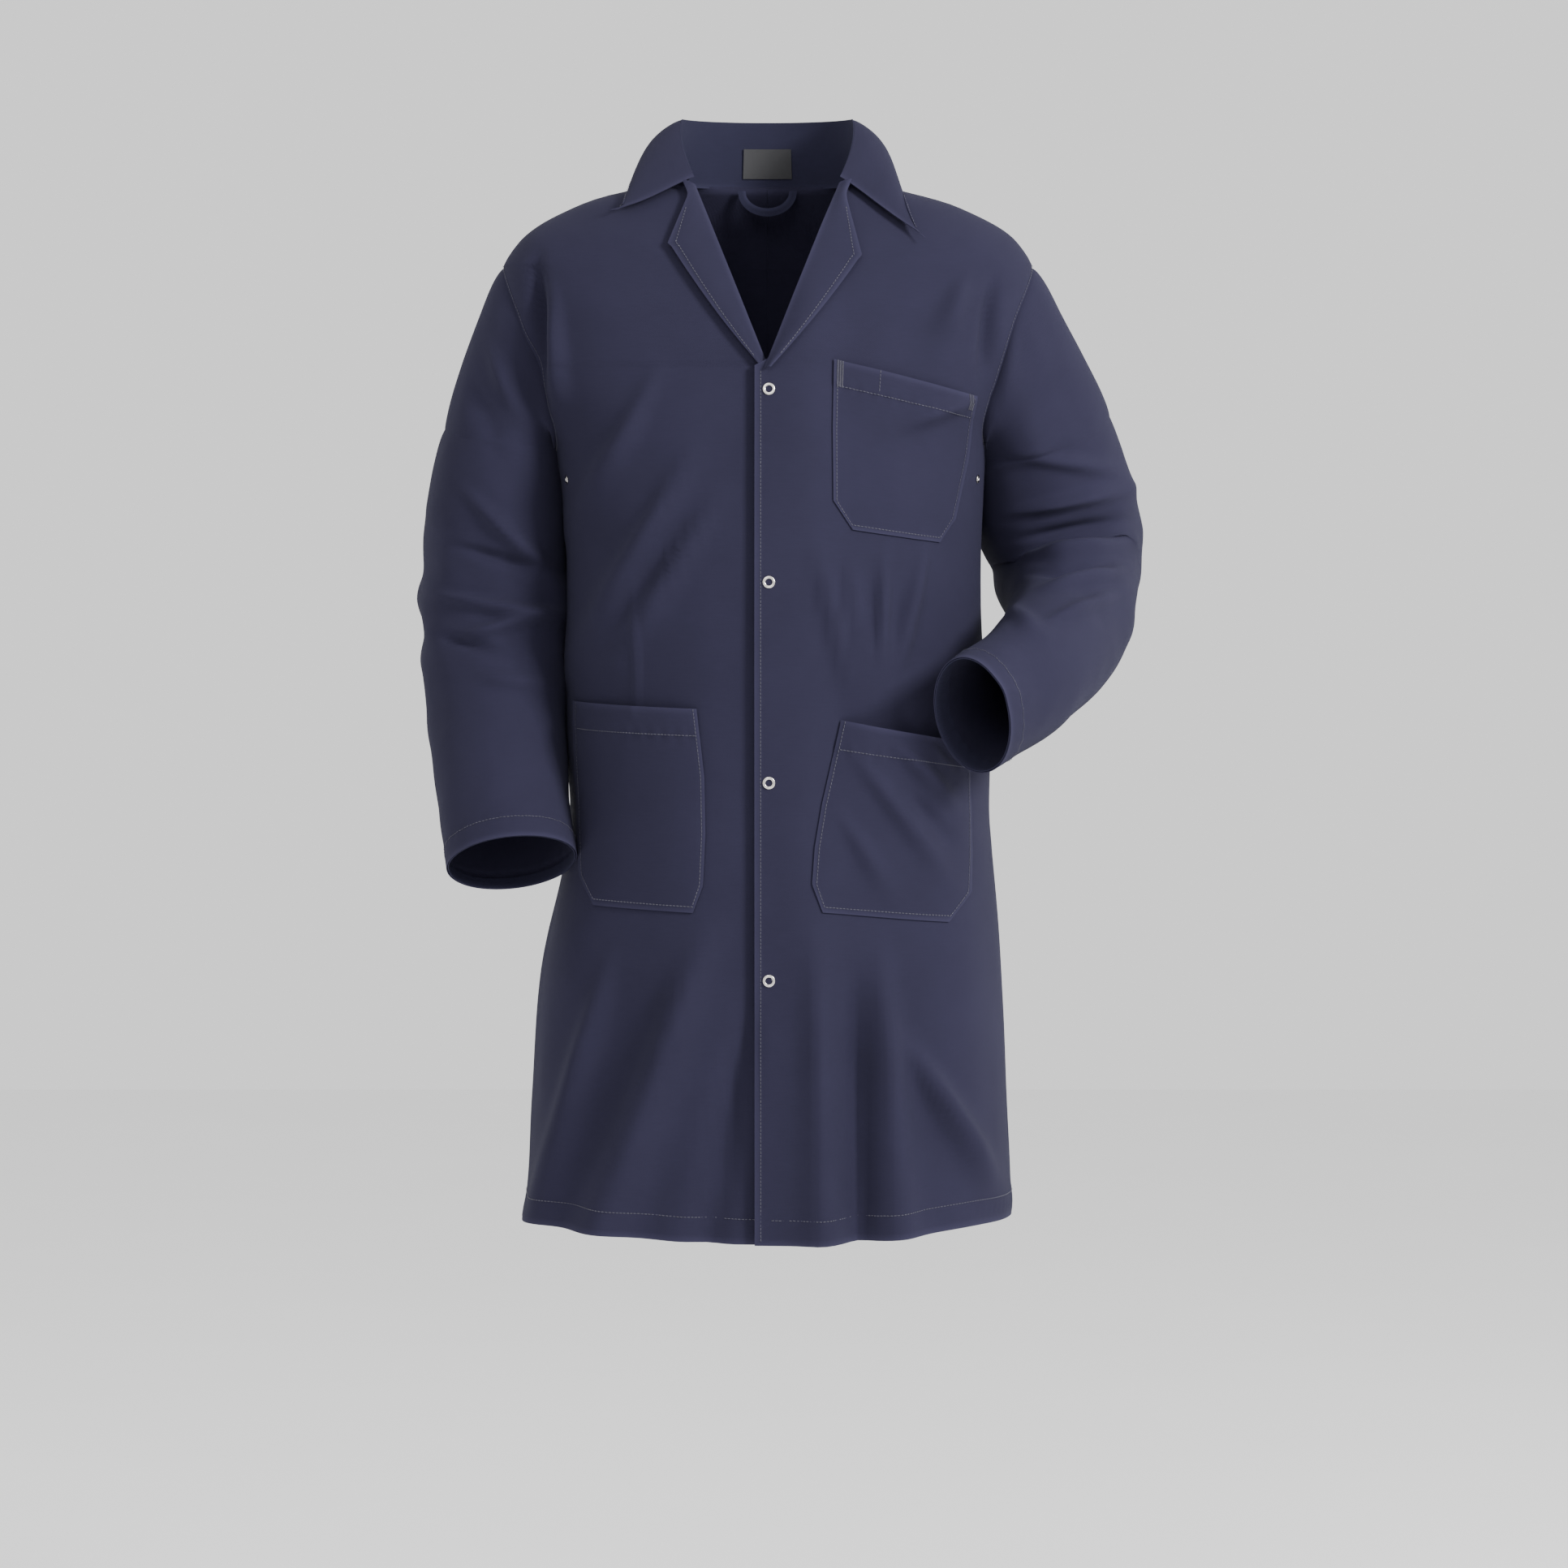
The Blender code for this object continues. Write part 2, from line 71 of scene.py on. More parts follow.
# the coat's own measures, as in the frame's design: metres, heights above the lowest hem
NECK_HEIGHT = -CAD_BOX[0][2]
ROUNDNESS = 2.4
OVERLAP_LIFT = 0.0080
LEFT_EDGE = -0.012
RIGHT_EDGE = 0.028
LAPEL_BREAK = 0.862
NECK_HALF = 0.075
NECK_FOLD = 1.050
SNAP_HEIGHTS = (0.838, 0.650, 0.455, 0.261)
SNAP_ACROSS = 0.002
SOCKET_RADIUS = 0.0052
SOCKET_HOLE = 0.0028
STUD_RADIUS = 0.0026
EYELET_RADIUS = 0.0042
EYELET_HOLE = 0.0019
EYELET_LIFT = 0.0007
EYELET_PLACE = (-0.16, 0.752)  # turn round the body and height
FOLD_TOP = (0.088, 1.040)
FOLD_SLOPE = 0.107
PANEL_TOP = 1.043              # the fronts and backs end here, below the collar's foot
FRONT_TOP = 1.040              # above this a lapel stands off the front's own shape
NECK_ACROSS = 0.086            # the neck opening's half width and half depth
NECK_DEPTH = 0.074
STAND_LOW = 1.0455
COLLAR_TOP = 1.112
COLLAR_DROP = 0.062            # how far the collar's fold falls from the back to the lapels
POINT_HEIGHTS = {1: 0.990, -1: 1.018}                   # the collar's points, by side
LAPEL_POINTS = {1: (0.094, 0.972), -1: (0.0985, 0.985)}  # across and height, by side
NOTCH_ACROSS = 0.0785
LAPEL_FOOT = 0.004
LAPEL_ROLL = 0.0062
BREAK_GAP = 0.004              # how far the lapels and front stitches stop from the break
FACING_EDGE = 0.046
FACING_DEPTH = 0.0021          # how far a facing lies behind its front

# half widths right and left, half depths front and back of the body, up its height
STATIONS = (
    (0.000, 0.243, 0.246, 0.165, 0.140),
    (0.130, 0.238, 0.240, 0.166, 0.139),
    (0.260, 0.229, 0.234, 0.166, 0.137),
    (0.380, 0.203, 0.226, 0.166, 0.134),
    (0.480, 0.194, 0.216, 0.166, 0.130),
    (0.600, 0.192, 0.206, 0.163, 0.122),
    (0.720, 0.194, 0.207, 0.150, 0.118),
    (0.790, 0.207, 0.215, 0.138, 0.120),
    (0.850, 0.244, 0.246, 0.127, 0.121),
    (0.910, 0.263, 0.263, 0.112, 0.117),
    (0.958, 0.267, 0.267, 0.094, 0.106),
    (0.988, 0.250, 0.250, 0.080, 0.095),
    (1.007, 0.226, 0.226, 0.068, 0.086),
    (1.025, 0.190, 0.190, 0.056, 0.077),
    (1.036, 0.155, 0.155, 0.049, 0.071),
    (1.045, 0.112, 0.112, 0.045, 0.067),
)
ARMHOLE_MIDDLE = 0.873
ARMHOLE_HALF = 0.090
ARMHOLE_REACH = 0.27
# centre, half width and half depth of each sleeve, from below the armhole to the cuff
RIGHT_SLEEVE = (
    (-0.264, 0.012, 0.795, 0.060, 0.072),
    (-0.272, 0.020, 0.720, 0.072, 0.077),
    (-0.274, 0.022, 0.630, 0.076, 0.078),
    (-0.272, -0.012, 0.520, 0.071, 0.073),
    (-0.261, -0.062, 0.430, 0.066, 0.066),
    (-0.253, -0.095, 0.372, 0.065, 0.059),
)
LEFT_SLEEVE = (
    (0.274, 0.020, 0.800, 0.072, 0.070),
    (0.290, 0.045, 0.730, 0.084, 0.074),
    (0.306, 0.052, 0.665, 0.076, 0.076),
    (0.303, -0.020, 0.608, 0.062, 0.070),
    (0.262, -0.120, 0.562, 0.054, 0.064),
    (0.200, -0.190, 0.522, 0.046, 0.064),
)

# how the cloth is finished
HEM_DEPTH = 0.025
HEM_SWEEP = 0.012              # how much higher the hem hangs behind than in front
CUFF_DEPTH = 0.020
POCKET_HEM = 0.027
EDGE_STITCH = 0.006
STITCH_PITCH = 0.0036
STITCH_WIDTH = 0.0008
CUFF_ROWS = 9                  # rows of a sleeve that its cuff hem covers
THIN_CLOTH = 0.0007            # facings and cuff hems
STAND_CLOTH = 0.0010
THICK_CLOTH = 0.0012           # collar leaf and hanger loop, sewn from two layers
FOLD_STRENGTH = 1.7            # deepens all folds, and those of the body once more
COLLAR_CLEARANCE = 0.0105      # from the body's plain shape to the collar leaf's outer face
LABEL_HALF_TURN = math.radians(16)
LABEL_SLOPE = 0.0555           # the height over which the label leans in as the stand does
LABEL_DEPTH = 0.0018           # how far the label lies inside the stand's outer face
LABEL_CLOTH = 0.0005
LOOP_HALF = 0.030
LOOP_DROP = 0.026
LOOP_TOP = 1.043

# the view and the light; each lamp has a place, a size and a power
VIEW_WIDTH = 1.546
VIEW_ACROSS = 0.0168
VIEW_DEPTH = -0.12
VIEW_MIDDLE = 0.4512
FLOOR_DROP = 0.62              # from the hem down to the floor
SKY_STRENGTH = 1.15
LAMPS = (
    ("key", (2.6, -2.2, 1.2), 0.9, 210.0),
    ("fill", (-0.6, -3.2, 1.6), 1.2, 26.0),
    ("rim_left", (2.6, 1.6, 1.4), 1.4, 30.0),
    ("rim_right", (-2.6, 1.2, 1.4), 1.4, 24.0),
)

# the folds in the cloth as seen from the front: across and height of both ends, width, rise
BODY_FOLDS = (
    (-0.060, 0.800, -0.192, 0.560, 0.015, 0.0052),
    (-0.036, 0.752, -0.150, 0.570, 0.012, 0.0040),
    (-0.100, 0.870, -0.190, 0.700, 0.013, 0.0036),
    (-0.228, 0.985, -0.226, 0.835, 0.009, -0.0058),
    (-0.212, 0.955, -0.204, 0.800, 0.010, 0.0040),
    (-0.128, 0.665, -0.128, 0.520, 0.003, 0.0012),
    (-0.050, 0.330, -0.165, 0.000, 0.024, 0.0090),
    (-0.010, 0.260, -0.060, 0.000, 0.016, -0.0045),
    (-0.150, 0.300, -0.225, 0.000, 0.016, 0.0060),
    (0.046, 0.330, 0.056, 0.000, 0.016, 0.0055),
    (0.110, 0.310, 0.128, 0.000, 0.020, 0.0075),
    (0.124, 0.220, 0.236, 0.030, 0.014, 0.0065),
    (0.082, 0.300, 0.092, 0.000, 0.010, -0.0040),
    (0.044, 0.700, 0.088, 0.525, 0.009, 0.0042),
    (0.078, 0.690, 0.100, 0.530, 0.008, 0.0040),
    (0.116, 0.690, 0.108, 0.535, 0.009, 0.0044),
    (0.160, 0.700, 0.120, 0.540, 0.010, 0.0040),
    (0.214, 0.835, 0.120, 0.800, 0.010, 0.0030),
    (0.222, 0.960, 0.216, 0.840, 0.009, -0.0042),
    (0.200, 0.960, 0.170, 0.880, 0.014, 0.0030),
)
LEFT_POCKET_FOLDS = (
    (0.070, 0.500, 0.180, 0.350, 0.010, 0.0050),
    (0.110, 0.500, 0.190, 0.420, 0.009, 0.0060),
    (0.060, 0.440, 0.120, 0.345, 0.010, 0.0035),
    (0.150, 0.500, 0.196, 0.460, 0.006, -0.0040),
    (0.130, 0.450, 0.185, 0.385, 0.007, -0.0034),
)
RIGHT_ARM_FOLDS = (
    (-0.308, 0.750, -0.204, 0.640, 0.009, 0.0070),
    (-0.326, 0.690, -0.204, 0.655, 0.007, -0.0045),
    (-0.340, 0.638, -0.204, 0.612, 0.008, 0.0075),
    (-0.316, 0.592, -0.204, 0.622, 0.008, 0.0060),
    (-0.340, 0.600, -0.250, 0.575, 0.007, -0.0045),
    (-0.300, 0.560, -0.210, 0.545, 0.010, 0.0040),
    (-0.285, 0.900, -0.230, 0.790, 0.014, 0.0050),
    (-0.300, 0.860, -0.262, 0.760, 0.012, -0.0035),
)
LEFT_ARM_FOLDS = (
    (0.232, 0.716, 0.370, 0.742, 0.008, 0.0065),
    (0.240, 0.690, 0.374, 0.712, 0.007, -0.0055),
    (0.244, 0.672, 0.372, 0.690, 0.007, 0.0075),
    (0.256, 0.640, 0.366, 0.662, 0.007, 0.0070),
    (0.250, 0.655, 0.340, 0.668, 0.005, -0.0050),
    (0.264, 0.608, 0.356, 0.640, 0.007, 0.0060),
    (0.220, 0.640, 0.270, 0.600, 0.008, 0.0050),
    (0.215, 0.760, 0.300, 0.790, 0.009, 0.0050),
    (0.230, 0.780, 0.350, 0.760, 0.008, 0.0050),
    (0.250, 0.930, 0.222, 0.820, 0.014, 0.0045),
    (0.190, 0.560, 0.250, 0.540, 0.010, 0.0030),
)


def at(across, depth, height):
    """A point from its height above the hem."""
    return Vector((across, depth, height - NECK_HEIGHT))


def steps(start, end, count):
    """Evenly spaced values, both ends included."""
    return [start + (end - start) * i / (count - 1) for i in range(count)]


def smooth(low, high, value):
    """From 0 at low to 1 at high, level at both; low may be above high."""
    t = min(max((value - low) / (high - low), 0.0), 1.0)
    return t * t * (3 - 2 * t)


def hermite(before, a, b, after, t, scale_a=0.5, scale_b=0.5):
    """A smooth curve from a to b that leaves and arrives along its neighbours."""
    return (
        a * (2 * t**3 - 3 * t**2 + 1)
        + (b - before) * scale_a * (t**3 - 2 * t**2 + t)
        + b * (3 * t**2 - 2 * t**3)
        + (after - a) * scale_b * (t**3 - t**2)
    )


def station(height):
    """Half widths and depths of the body at a height, on a smooth curve through the stations."""
    rows = STATIONS
    height = min(max(height, rows[0][0]), rows[-1][0])
    i = max(k for k in range(len(rows) - 1) if rows[k][0] <= height)
    a, b = rows[i], rows[i + 1]
    before, after = rows[max(i - 1, 0)], rows[min(i + 2, len(rows) - 1)]
    span = b[0] - a[0]
    scale_a, scale_b = span / (b[0] - before[0]), span / (after[0] - a[0])
    t = (height - a[0]) / span
    return [hermite(before[k], a[k], b[k], after[k], t, scale_a, scale_b) for k in range(1, 5)]


def body_at(side, turn, height):
    """A point of the body; side is -1 right or +1 left, turn runs from -1 front to +1 back."""
    right, left, front, back = station(height)
    half = left if side > 0 else right
    depth = back if turn > 0 else -front
    angle = abs(turn) * math.pi / 2
    power = 2 / ROUNDNESS
    across = side * half * max(math.cos(angle), 0) ** power
    return at(across, depth * math.sin(angle) ** power, height)


def outward(side, turn, height):
    """The body's outward direction, from the points around this one."""
    low, high = max(height - 0.006, 0.0), min(height + 0.006, STATIONS[-1][0])
    before, after = max(turn - 0.02, -1), min(turn + 0.02, 1)
    up = body_at(side, turn, high) - body_at(side, turn, low)
    along = body_at(side, after, height) - body_at(side, before, height)
    normal = along.cross(up) if side > 0 else up.cross(along)
    return normal.normalized()


def turn_at(across, height):
    """The turn on the front at which the body is this far across."""
    half = station(height)[1 if across > 0 else 0]
    share = min(abs(across) / half, 0.9999)
    return -math.acos(share ** (ROUNDNESS / 2)) * 2 / math.pi


def fold_rise(folds, across, height):
    """How far a set of folds pushes the cloth out at a place, each fading at its ends."""
    rise = 0.0
    for x0, h0, x1, h1, width, size in folds:
        dx, dh = x1 - x0, h1 - h0
        length_squared = dx * dx + dh * dh
        t = ((across - x0) * dx + (height - h0) * dh) / length_squared
        t_near = min(max(t, 0.0), 1.0)
        off = math.hypot(across - x0 - dx * t_near, height - h0 - dh * t_near)
        wide = width * (0.65 + 0.7 * t_near)
        if off > 3 * wide:
            continue
        open_end = h1 <= 0.001
        taper = smooth(-0.02, 0.45, t_near)
        if not open_end:
            taper *= 1 - 0.75 * smooth(0.6, 1.0, t_near)
        rise += FOLD_STRENGTH * size * math.exp(-((off / (0.85 * wide)) ** 2)) * taper
    return rise


def drape(point, stretch=3.0, scale=9.0, size=0.0022):
    """Soft uneven hang of the cloth, longer up and down than across."""
    place = Vector((point.x * scale, point.y * scale, point.z * scale / stretch))
    fine = Vector((point.x * scale * 2.7, point.y * scale * 2.7, point.z * scale * 1.3 + 4.0))
    ridges = 0.35 - abs(noise.noise(place * 1.9 + Vector((7.0, 0, 0))))
    return (noise.noise(place) + noise.noise(fine) * 0.35 + ridges * 0.30) * size


def hem_ripple(along, away):
    """The small puckers beside a row of stitching."""
    return 0.0005 * math.sin(along * 2 * math.pi / 0.013) * math.exp(-((away / 0.007) ** 2))


def body_rise(point, height, across):
    """All that lifts the body's cloth off its plain shape at a place."""
    rise = fold_rise(BODY_FOLDS, across, height) * smooth(0.03, -0.03, point.y) * FOLD_STRENGTH
    rise += drape(point)
    waist = smooth(0.40, 0.50, height) * (1 - smooth(0.76, 0.83, height))
    rise += 0.010 * waist * math.exp(-((point.y / 0.07) ** 2))
    seat = smooth(0.62, 0.2, height) * (1 if point.y > 0 else 0.35)
    flutes = math.sin(math.atan2(point.y, point.x) * 9 + 0.6)
    rise += 0.006 * seat * flutes * smooth(-0.02, 0.05, abs(point.y))
    rise += 0.0006 * (1 - smooth(HEM_DEPTH - 0.002, HEM_DEPTH + 0.001, height))
    rise += hem_ripple(across + point.y, height - HEM_DEPTH)
    return rise


def free_edge(side):
    """Where a front's free edge lies, from the centre line towards the front's own side."""
    return LEFT_EDGE if side > 0 else -RIGHT_EDGE


def lap_lift(side, across):
    """How far the left front is lifted, fading out away from the edge; the right one isn't."""
    return OVERLAP_LIFT * smooth(0.085, 0.030, across) if side > 0 else 0.0


def front_at(across, height, lift=0.0):
    """A point on the front's cloth, lifted off it; the left front laps over the right one."""
    side = 1 if across >= 0 else -1
    turn = turn_at(across, height) if abs(across) > 1e-5 else -1.0
    turn = max(turn, -1.0)
    point = body_at(side, turn, height)
    return point + outward(side, turn, height) * (lift + body_rise(point, height, across))


def roll_across(height):
    """How far from the centre line a lapel folds back."""
    return NECK_HALF * (height - LAPEL_BREAK) / (NECK_FOLD - LAPEL_BREAK)


def armhole_turn(height):
    """How far round the body the armhole reaches at a height; none above and below it."""
    share = (height - ARMHOLE_MIDDLE) / ARMHOLE_HALF
    return ARMHOLE_REACH * math.sqrt(max(1 - share * share, 0))


def hung_height(turn, height):
    """A height, raised near the hem so that the hem hangs a little lower in front."""
    drop = HEM_SWEEP - HEM_SWEEP * smooth(0.35, 1.0, -turn)
    return height + drop * (1 - smooth(0.0, 0.22, height))


def body_surface(side, turn, height, lift=0.0):
    """A point on the body's cloth and its outward direction."""
    point = body_at(side, turn, height)
    normal = outward(side, turn, height)
    return point + normal * (body_rise(point, height, point.x) + lift), normal


# ---------------------------------------------------------------- shader nodes


class Wire:
    """A node's output, or a number, that takes part in shader expressions."""

    def __init__(self, tree, socket):
        self.tree = tree
        self.socket = socket

    def _math(self, operation, *others):
        return self.tree.make("ShaderNodeMath", {"operation": operation}, *others)

    def __add__(self, other):
        return self._math("ADD", self, other)

    def __radd__(self, other):
        return self._math("ADD", other, self)

    def __sub__(self, other):
        return self._math("SUBTRACT", self, other)

    def __rsub__(self, other):
        return self._math("SUBTRACT", other, self)

    def __mul__(self, other):
        return self._math("MULTIPLY", self, other)

    def __rmul__(self, other):
        return self._math("MULTIPLY", other, self)

    def sine(self):
        return self._math("SINE", self)

    def clamp(self):
        return self.tree.make("ShaderNodeClamp", {}, self)


class Finish:
    """A material under construction, with one method that makes every node."""

    def __init__(self, name):
        self.material = bpy.data.materials.new(name)
        self.material.use_nodes = True
        self.nodes = self.material.node_tree.nodes
        self.links = self.material.node_tree.links
        self.shader = self.nodes["Principled BSDF"]

    def make(self, kind, settings, *inputs, output=0, **named):
        node = self.nodes.new(kind)
        for key, value in settings.items():
            setattr(node, key, value)
        for place, value in list(enumerate(inputs)) + list(named.items()):
            key = place if isinstance(place, int) else place.replace("_", " ")
            self.plug(node.inputs[key], value)
        return Wire(self, node.outputs[output])

    def plug(self, socket, value):
        if isinstance(value, Wire):
            self.links.new(value.socket, socket)
        elif value is not None:
            socket.default_value = value

    def mix(self, factor, first, second):
        node = self.nodes.new("ShaderNodeMix")
        node.data_type = "RGBA"
        self.plug(node.inputs[0], factor)
        self.plug(node.inputs[6], first)
        self.plug(node.inputs[7], second)
        return Wire(self, node.outputs[2])

    def noise(self, place, scale, detail=3.0):
        return self.make(
            "ShaderNodeTexNoise", {}, Vector=place, Scale=scale, Detail=detail, Roughness=0.6
        )

    def split(self, place):
        node = self.nodes.new("ShaderNodeSeparateXYZ")
        self.plug(node.inputs[0], place)
        return [Wire(self, socket) for socket in node.outputs]

    def set(self, **values):
        for key, value in values.items():
            self.plug(self.shader.inputs[key.replace("_", " ")], value)


def rgba(colour, factor=1.0):
    """An opaque colour, made darker or lighter by the factor."""
    return (colour[0] * factor, colour[1] * factor, colour[2] * factor, 1.0)


def twill(name, colour, sheen=0.03, line=0.0011):
    """Cotton twill: fine diagonal lines, soft fuzz, faded a little on its sewn edges."""
    finish = Finish(name)
    uv = finish.make("ShaderNodeUVMap", {"uv_map": "cloth"})
    across, along, _ = finish.split(uv)
    turn = 2 * math.pi / line
    diagonal = ((across + along * 1.15) * turn).sine()
    weft = ((across - along * 0.35) * (turn * 1.7)).sine()
    fuzz = finish.noise(uv, 1400.0)
    cloudy = finish.noise(uv, 7.0)
    slub = finish.noise(finish.make("ShaderNodeMapping", {}, uv, Scale=(60.0, 700.0, 1.0)), 1.0)
    wear = finish.make("ShaderNodeAttribute", {"attribute_name": "wear"}, output="Fac")
    tone = (diagonal * 0.13 + fuzz * 0.30 + cloudy * 0.45 + slub * 0.22 - 0.10).clamp()
    base = finish.mix(tone, rgba(colour, 0.66), rgba(colour, 1.42))
    faded = tuple(min(c * 1.75 + 0.002, 1.0) for c in colour)
    worn = (wear * (fuzz * 0.9 + 0.12)).clamp()
    finish.set(Base_Color=finish.mix(worn, base, rgba(faded)))
    finish.set(Roughness=fuzz * 0.12 + 0.80)
    raised = diagonal * 0.5 + weft * 0.22 + fuzz * 0.55 + slub * 0.3
    finish.set(
        Normal=finish.make("ShaderNodeBump", {}, Strength=0.42, Distance=0.0004, Height=raised)
    )
    finish.set(Sheen_Weight=sheen, Sheen_Roughness=0.45, Sheen_Tint=(0.62, 0.64, 0.90, 1.0))
    finish.set(Specular_IOR_Level=0.07)
    return finish.material


def thread(name, colour):
    """Twisted sewing thread, a shade off the cloth."""
    finish = Finish(name)
    place = finish.make("ShaderNodeTexCoord", {}, output="Object")
    fleck = finish.noise(place, 900.0)
    finish.set(Base_Color=finish.mix(fleck, rgba(colour, 0.7), rgba(colour, 1.5)))
    finish.set(Roughness=fleck * 0.15 + 0.55)
    finish.set(Sheen_Weight=0.2)
    return finish.material


def nickel(name, colour):
    """Bright plated metal with faint wiping marks."""
    finish = Finish(name)
    place = finish.make("ShaderNodeTexCoord", {}, output="Object")
    marks = finish.noise(place, 450.0, 5.0)
    cloud = finish.noise(place, 120.0)
    finish.set(Base_Color=finish.mix(cloud, rgba(colour, 0.86), rgba(colour, 1.08)))
    finish.set(Metallic=1.0, Roughness=marks * 0.20 + 0.14)
    finish.set(
        Normal=finish.make("ShaderNodeBump", {}, Strength=0.08, Distance=0.0002, Height=marks)
    )
    return finish.material


def label_cloth(name, colour):
    """Smooth woven ribbon for the blank neck label."""
    finish = Finish(name)
    uv = finish.make("ShaderNodeUVMap", {"uv_map": "cloth"})
    across, along, _ = finish.split(uv)
    warp = (across * (2 * math.pi / 0.0005)).sine()
    weft = (along * (2 * math.pi / 0.0007)).sine()
    fuzz = finish.noise(uv, 900.0)
    finish.set(Base_Color=finish.mix(fuzz, rgba(colour, 0.85), rgba(colour, 1.1)))
    finish.set(Roughness=fuzz * 0.2 + 0.5)
    finish.set(
        Normal=finish.make(
            "ShaderNodeBump", {}, Strength=0.3, Distance=0.0002, Height=warp * 0.5 + weft * 0.5
        )
    )
    return finish.material


def floor_finish(name):
    """Pale, slightly cloudy paper for the floor."""
    finish = Finish(name)
    place = finish.make("ShaderNodeTexCoord", {}, output="Object")
    cloud = finish.noise(place, 2.0)
    finish.set(Base_Color=finish.mix(cloud, (0.86, 0.86, 0.86, 1), (0.90, 0.90, 0.90, 1)))
    finish.set(Roughness=cloud * 0.1 + 0.7)
    return finish.material


# ---------------------------------------------------------------- cloth in mesh code


def run_lengths(points):
    """How far along a run of points each one is."""
    total, lengths = 0.0, [0.0]
    for a, b in zip(points, points[1:]):
        total += (b - a).length
        lengths.append(total)
    return lengths


class Cloth:
    """A piece of cloth from rows of points on its outer face."""

    def __init__(self, name, rows, closed=False, worn=(), offset=(0.0, 0.0)):
        self.name = name
        self.rows = rows
        self.closed = closed
        self.worn = worn
        self.offset = offset

    def flat_area(self):
        """The cloth's own area, measured over its outer face."""
        area = 0.0
        for low, high in zip(self.rows, self.rows[1:]):
            ring = list(zip(low, high)) + ([(low[0], high[0])] if self.closed else [])
            for (a, b), (c, d) in zip(ring, ring[1:]):
                area += ((c - a).cross(b - a).length + (c - d).cross(b - d).length) / 2
        return area

    def wear_at(self, row, column, down, across):
        """How rubbed a point is: strongest on the finished edges listed in worn."""
        near = 1.0
        reach = {
            "bottom": down[row] - down[0],
            "top": down[-1] - down[row],
            "start": across[row][column] - across[row][0],
            "end": across[row][-1] - across[row][column],
        }
        for edge in self.worn:
            near = min(near, reach[edge])
        return math.exp(-((near / 0.0035) ** 2)) * 0.8 if self.worn else 0.0

    def build(self, material, thickness, inside):
        """Makes the cloth's object, its faces turned away from the point inside."""
        mesh = bpy.data.meshes.new(self.name)
        made = bmesh.new()
        uv_layer = made.loops.layers.uv.new("cloth")
        wear_layer = made.verts.layers.float.new("wear")
        middle = len(self.rows[0]) // 2
        down = run_lengths([row[middle] for row in self.rows])
        across = [run_lengths(row + row[:1] if self.closed else row) for row in self.rows]
        grid = []
        for r, row in enumerate(self.rows):
            verts = []
            for c, point in enumerate(row):
                vert = made.verts.new(point)
                vert[wear_layer] = self.wear_at(r, c, down, across)
                verts.append(vert)
            grid.append(verts)
        count = len(grid[0])
        for r in range(len(grid) - 1):
            for c in range(count if self.closed else count - 1):
                d = (c + 1) % count
                face = made.faces.new((grid[r][c], grid[r][d], grid[r + 1][d], grid[r + 1][c]))
                face.smooth = True
                corners = ((r, c), (r, c + 1), (r + 1, c + 1), (r + 1, c))
                for loop, (i, j) in zip(face.loops, corners):
                    u = across[i][j] + self.offset[0]
                    loop[uv_layer].uv = (u, down[i] + self.offset[1])
        for edge in made.edges:
            edge.smooth = not edge.is_boundary
        made.faces.ensure_lookup_table()
        test = made.faces[len(made.faces) // 2]
        test.normal_update()
        if test.normal.dot(test.calc_center_median() - inside) < 0:
            bmesh.ops.reverse_faces(made, faces=made.faces)
        made.to_mesh(mesh)
        made.free()
        mesh.materials.append(material)
        obj = bpy.data.objects.new(self.name, mesh)
        bpy.context.scene.collection.objects.link(obj)
        solid = obj.modifiers.new("thickness", "SOLIDIFY")
        solid.thickness = thickness
        solid.offset = -1.0
        return obj


INSIDE = at(0.0, 0.0, 0.6)
SIDES = (("left", 1), ("right", -1))


def sew(cloth, finish, inside, thickness=None):
    """Builds a cloth and works out its flat area, which nothing uses; inside is a point behind
    its outer face.
    """
    piece = cloth.build(finish_named(finish), thickness or sizes().cloth, inside)
    cloth.flat_area()
    return piece


def seam_dip(turn):
    """How far the cloth sinks into a seam that is this many turns away."""
    return 0.0016 * math.exp(-((turn / 0.012) ** 2))


def front_row(side, height, count_inner=14, count_outer=44):
    """One row of a front, from its free edge or the lapel's fold to the side or armhole."""
    edge = free_edge(side)
    if height > LAPEL_BREAK:
        edge = max(edge, roll_across(height) - 0.001)
    half = station(height)[1 if side > 0 else 0]
    switch = min(0.10, half * 0.8)
    end = -armhole_turn(height)
    places = [(side * x, turn_at(side * x, height)) for x in steps(edge, switch, count_inner)]
    start = turn_at(side * switch, height)
    places += [(None, t) for t in steps(start, end, count_outer)[1:]]
    row = []
    for across, turn in places:
        level = hung_height(turn, height)
        if across is None:
            point = body_at(side, turn, level)
            across = point.x
            normal = outward(side, turn, level)
        else:
            here = 1 if across >= 0 else -1
            turn = turn_at(across, level) if abs(across) > 1e-5 else -1.0
            point = body_at(here, turn, level)
            normal = outward(here, turn, level)
        lift = lap_lift(side, across)
        if armhole_turn(height) == 0:
            lift -= seam_dip(turn)
        row.append(point + normal * (lift + body_rise(point, level, across)))
    return row


def row_heights(low, high):
    """The heights of a panel's rows, closer together at the shoulders."""
    lower = [h for h in steps(0.0, 0.98, 141) if low < h < high]
    upper = [h for h in steps(0.98, 1.043, 17)[1:] if low < h < high]
    return [low] + lower + upper + [high]


def back_row(side, height, count=48):
    """One row of a back, from the side seam or armhole to the centre-back seam."""
    row = []
    for turn in steps(armhole_turn(height), 1.0, count):
        level = hung_height(turn, height)
        point = body_at(side, turn, level)
        lift = body_rise(point, level, point.x)
        lift -= seam_dip(1 - turn)
        if armhole_turn(height) == 0:
            lift -= seam_dip(turn)
        row.append(point + outward(side, turn, level) * lift)
    return row


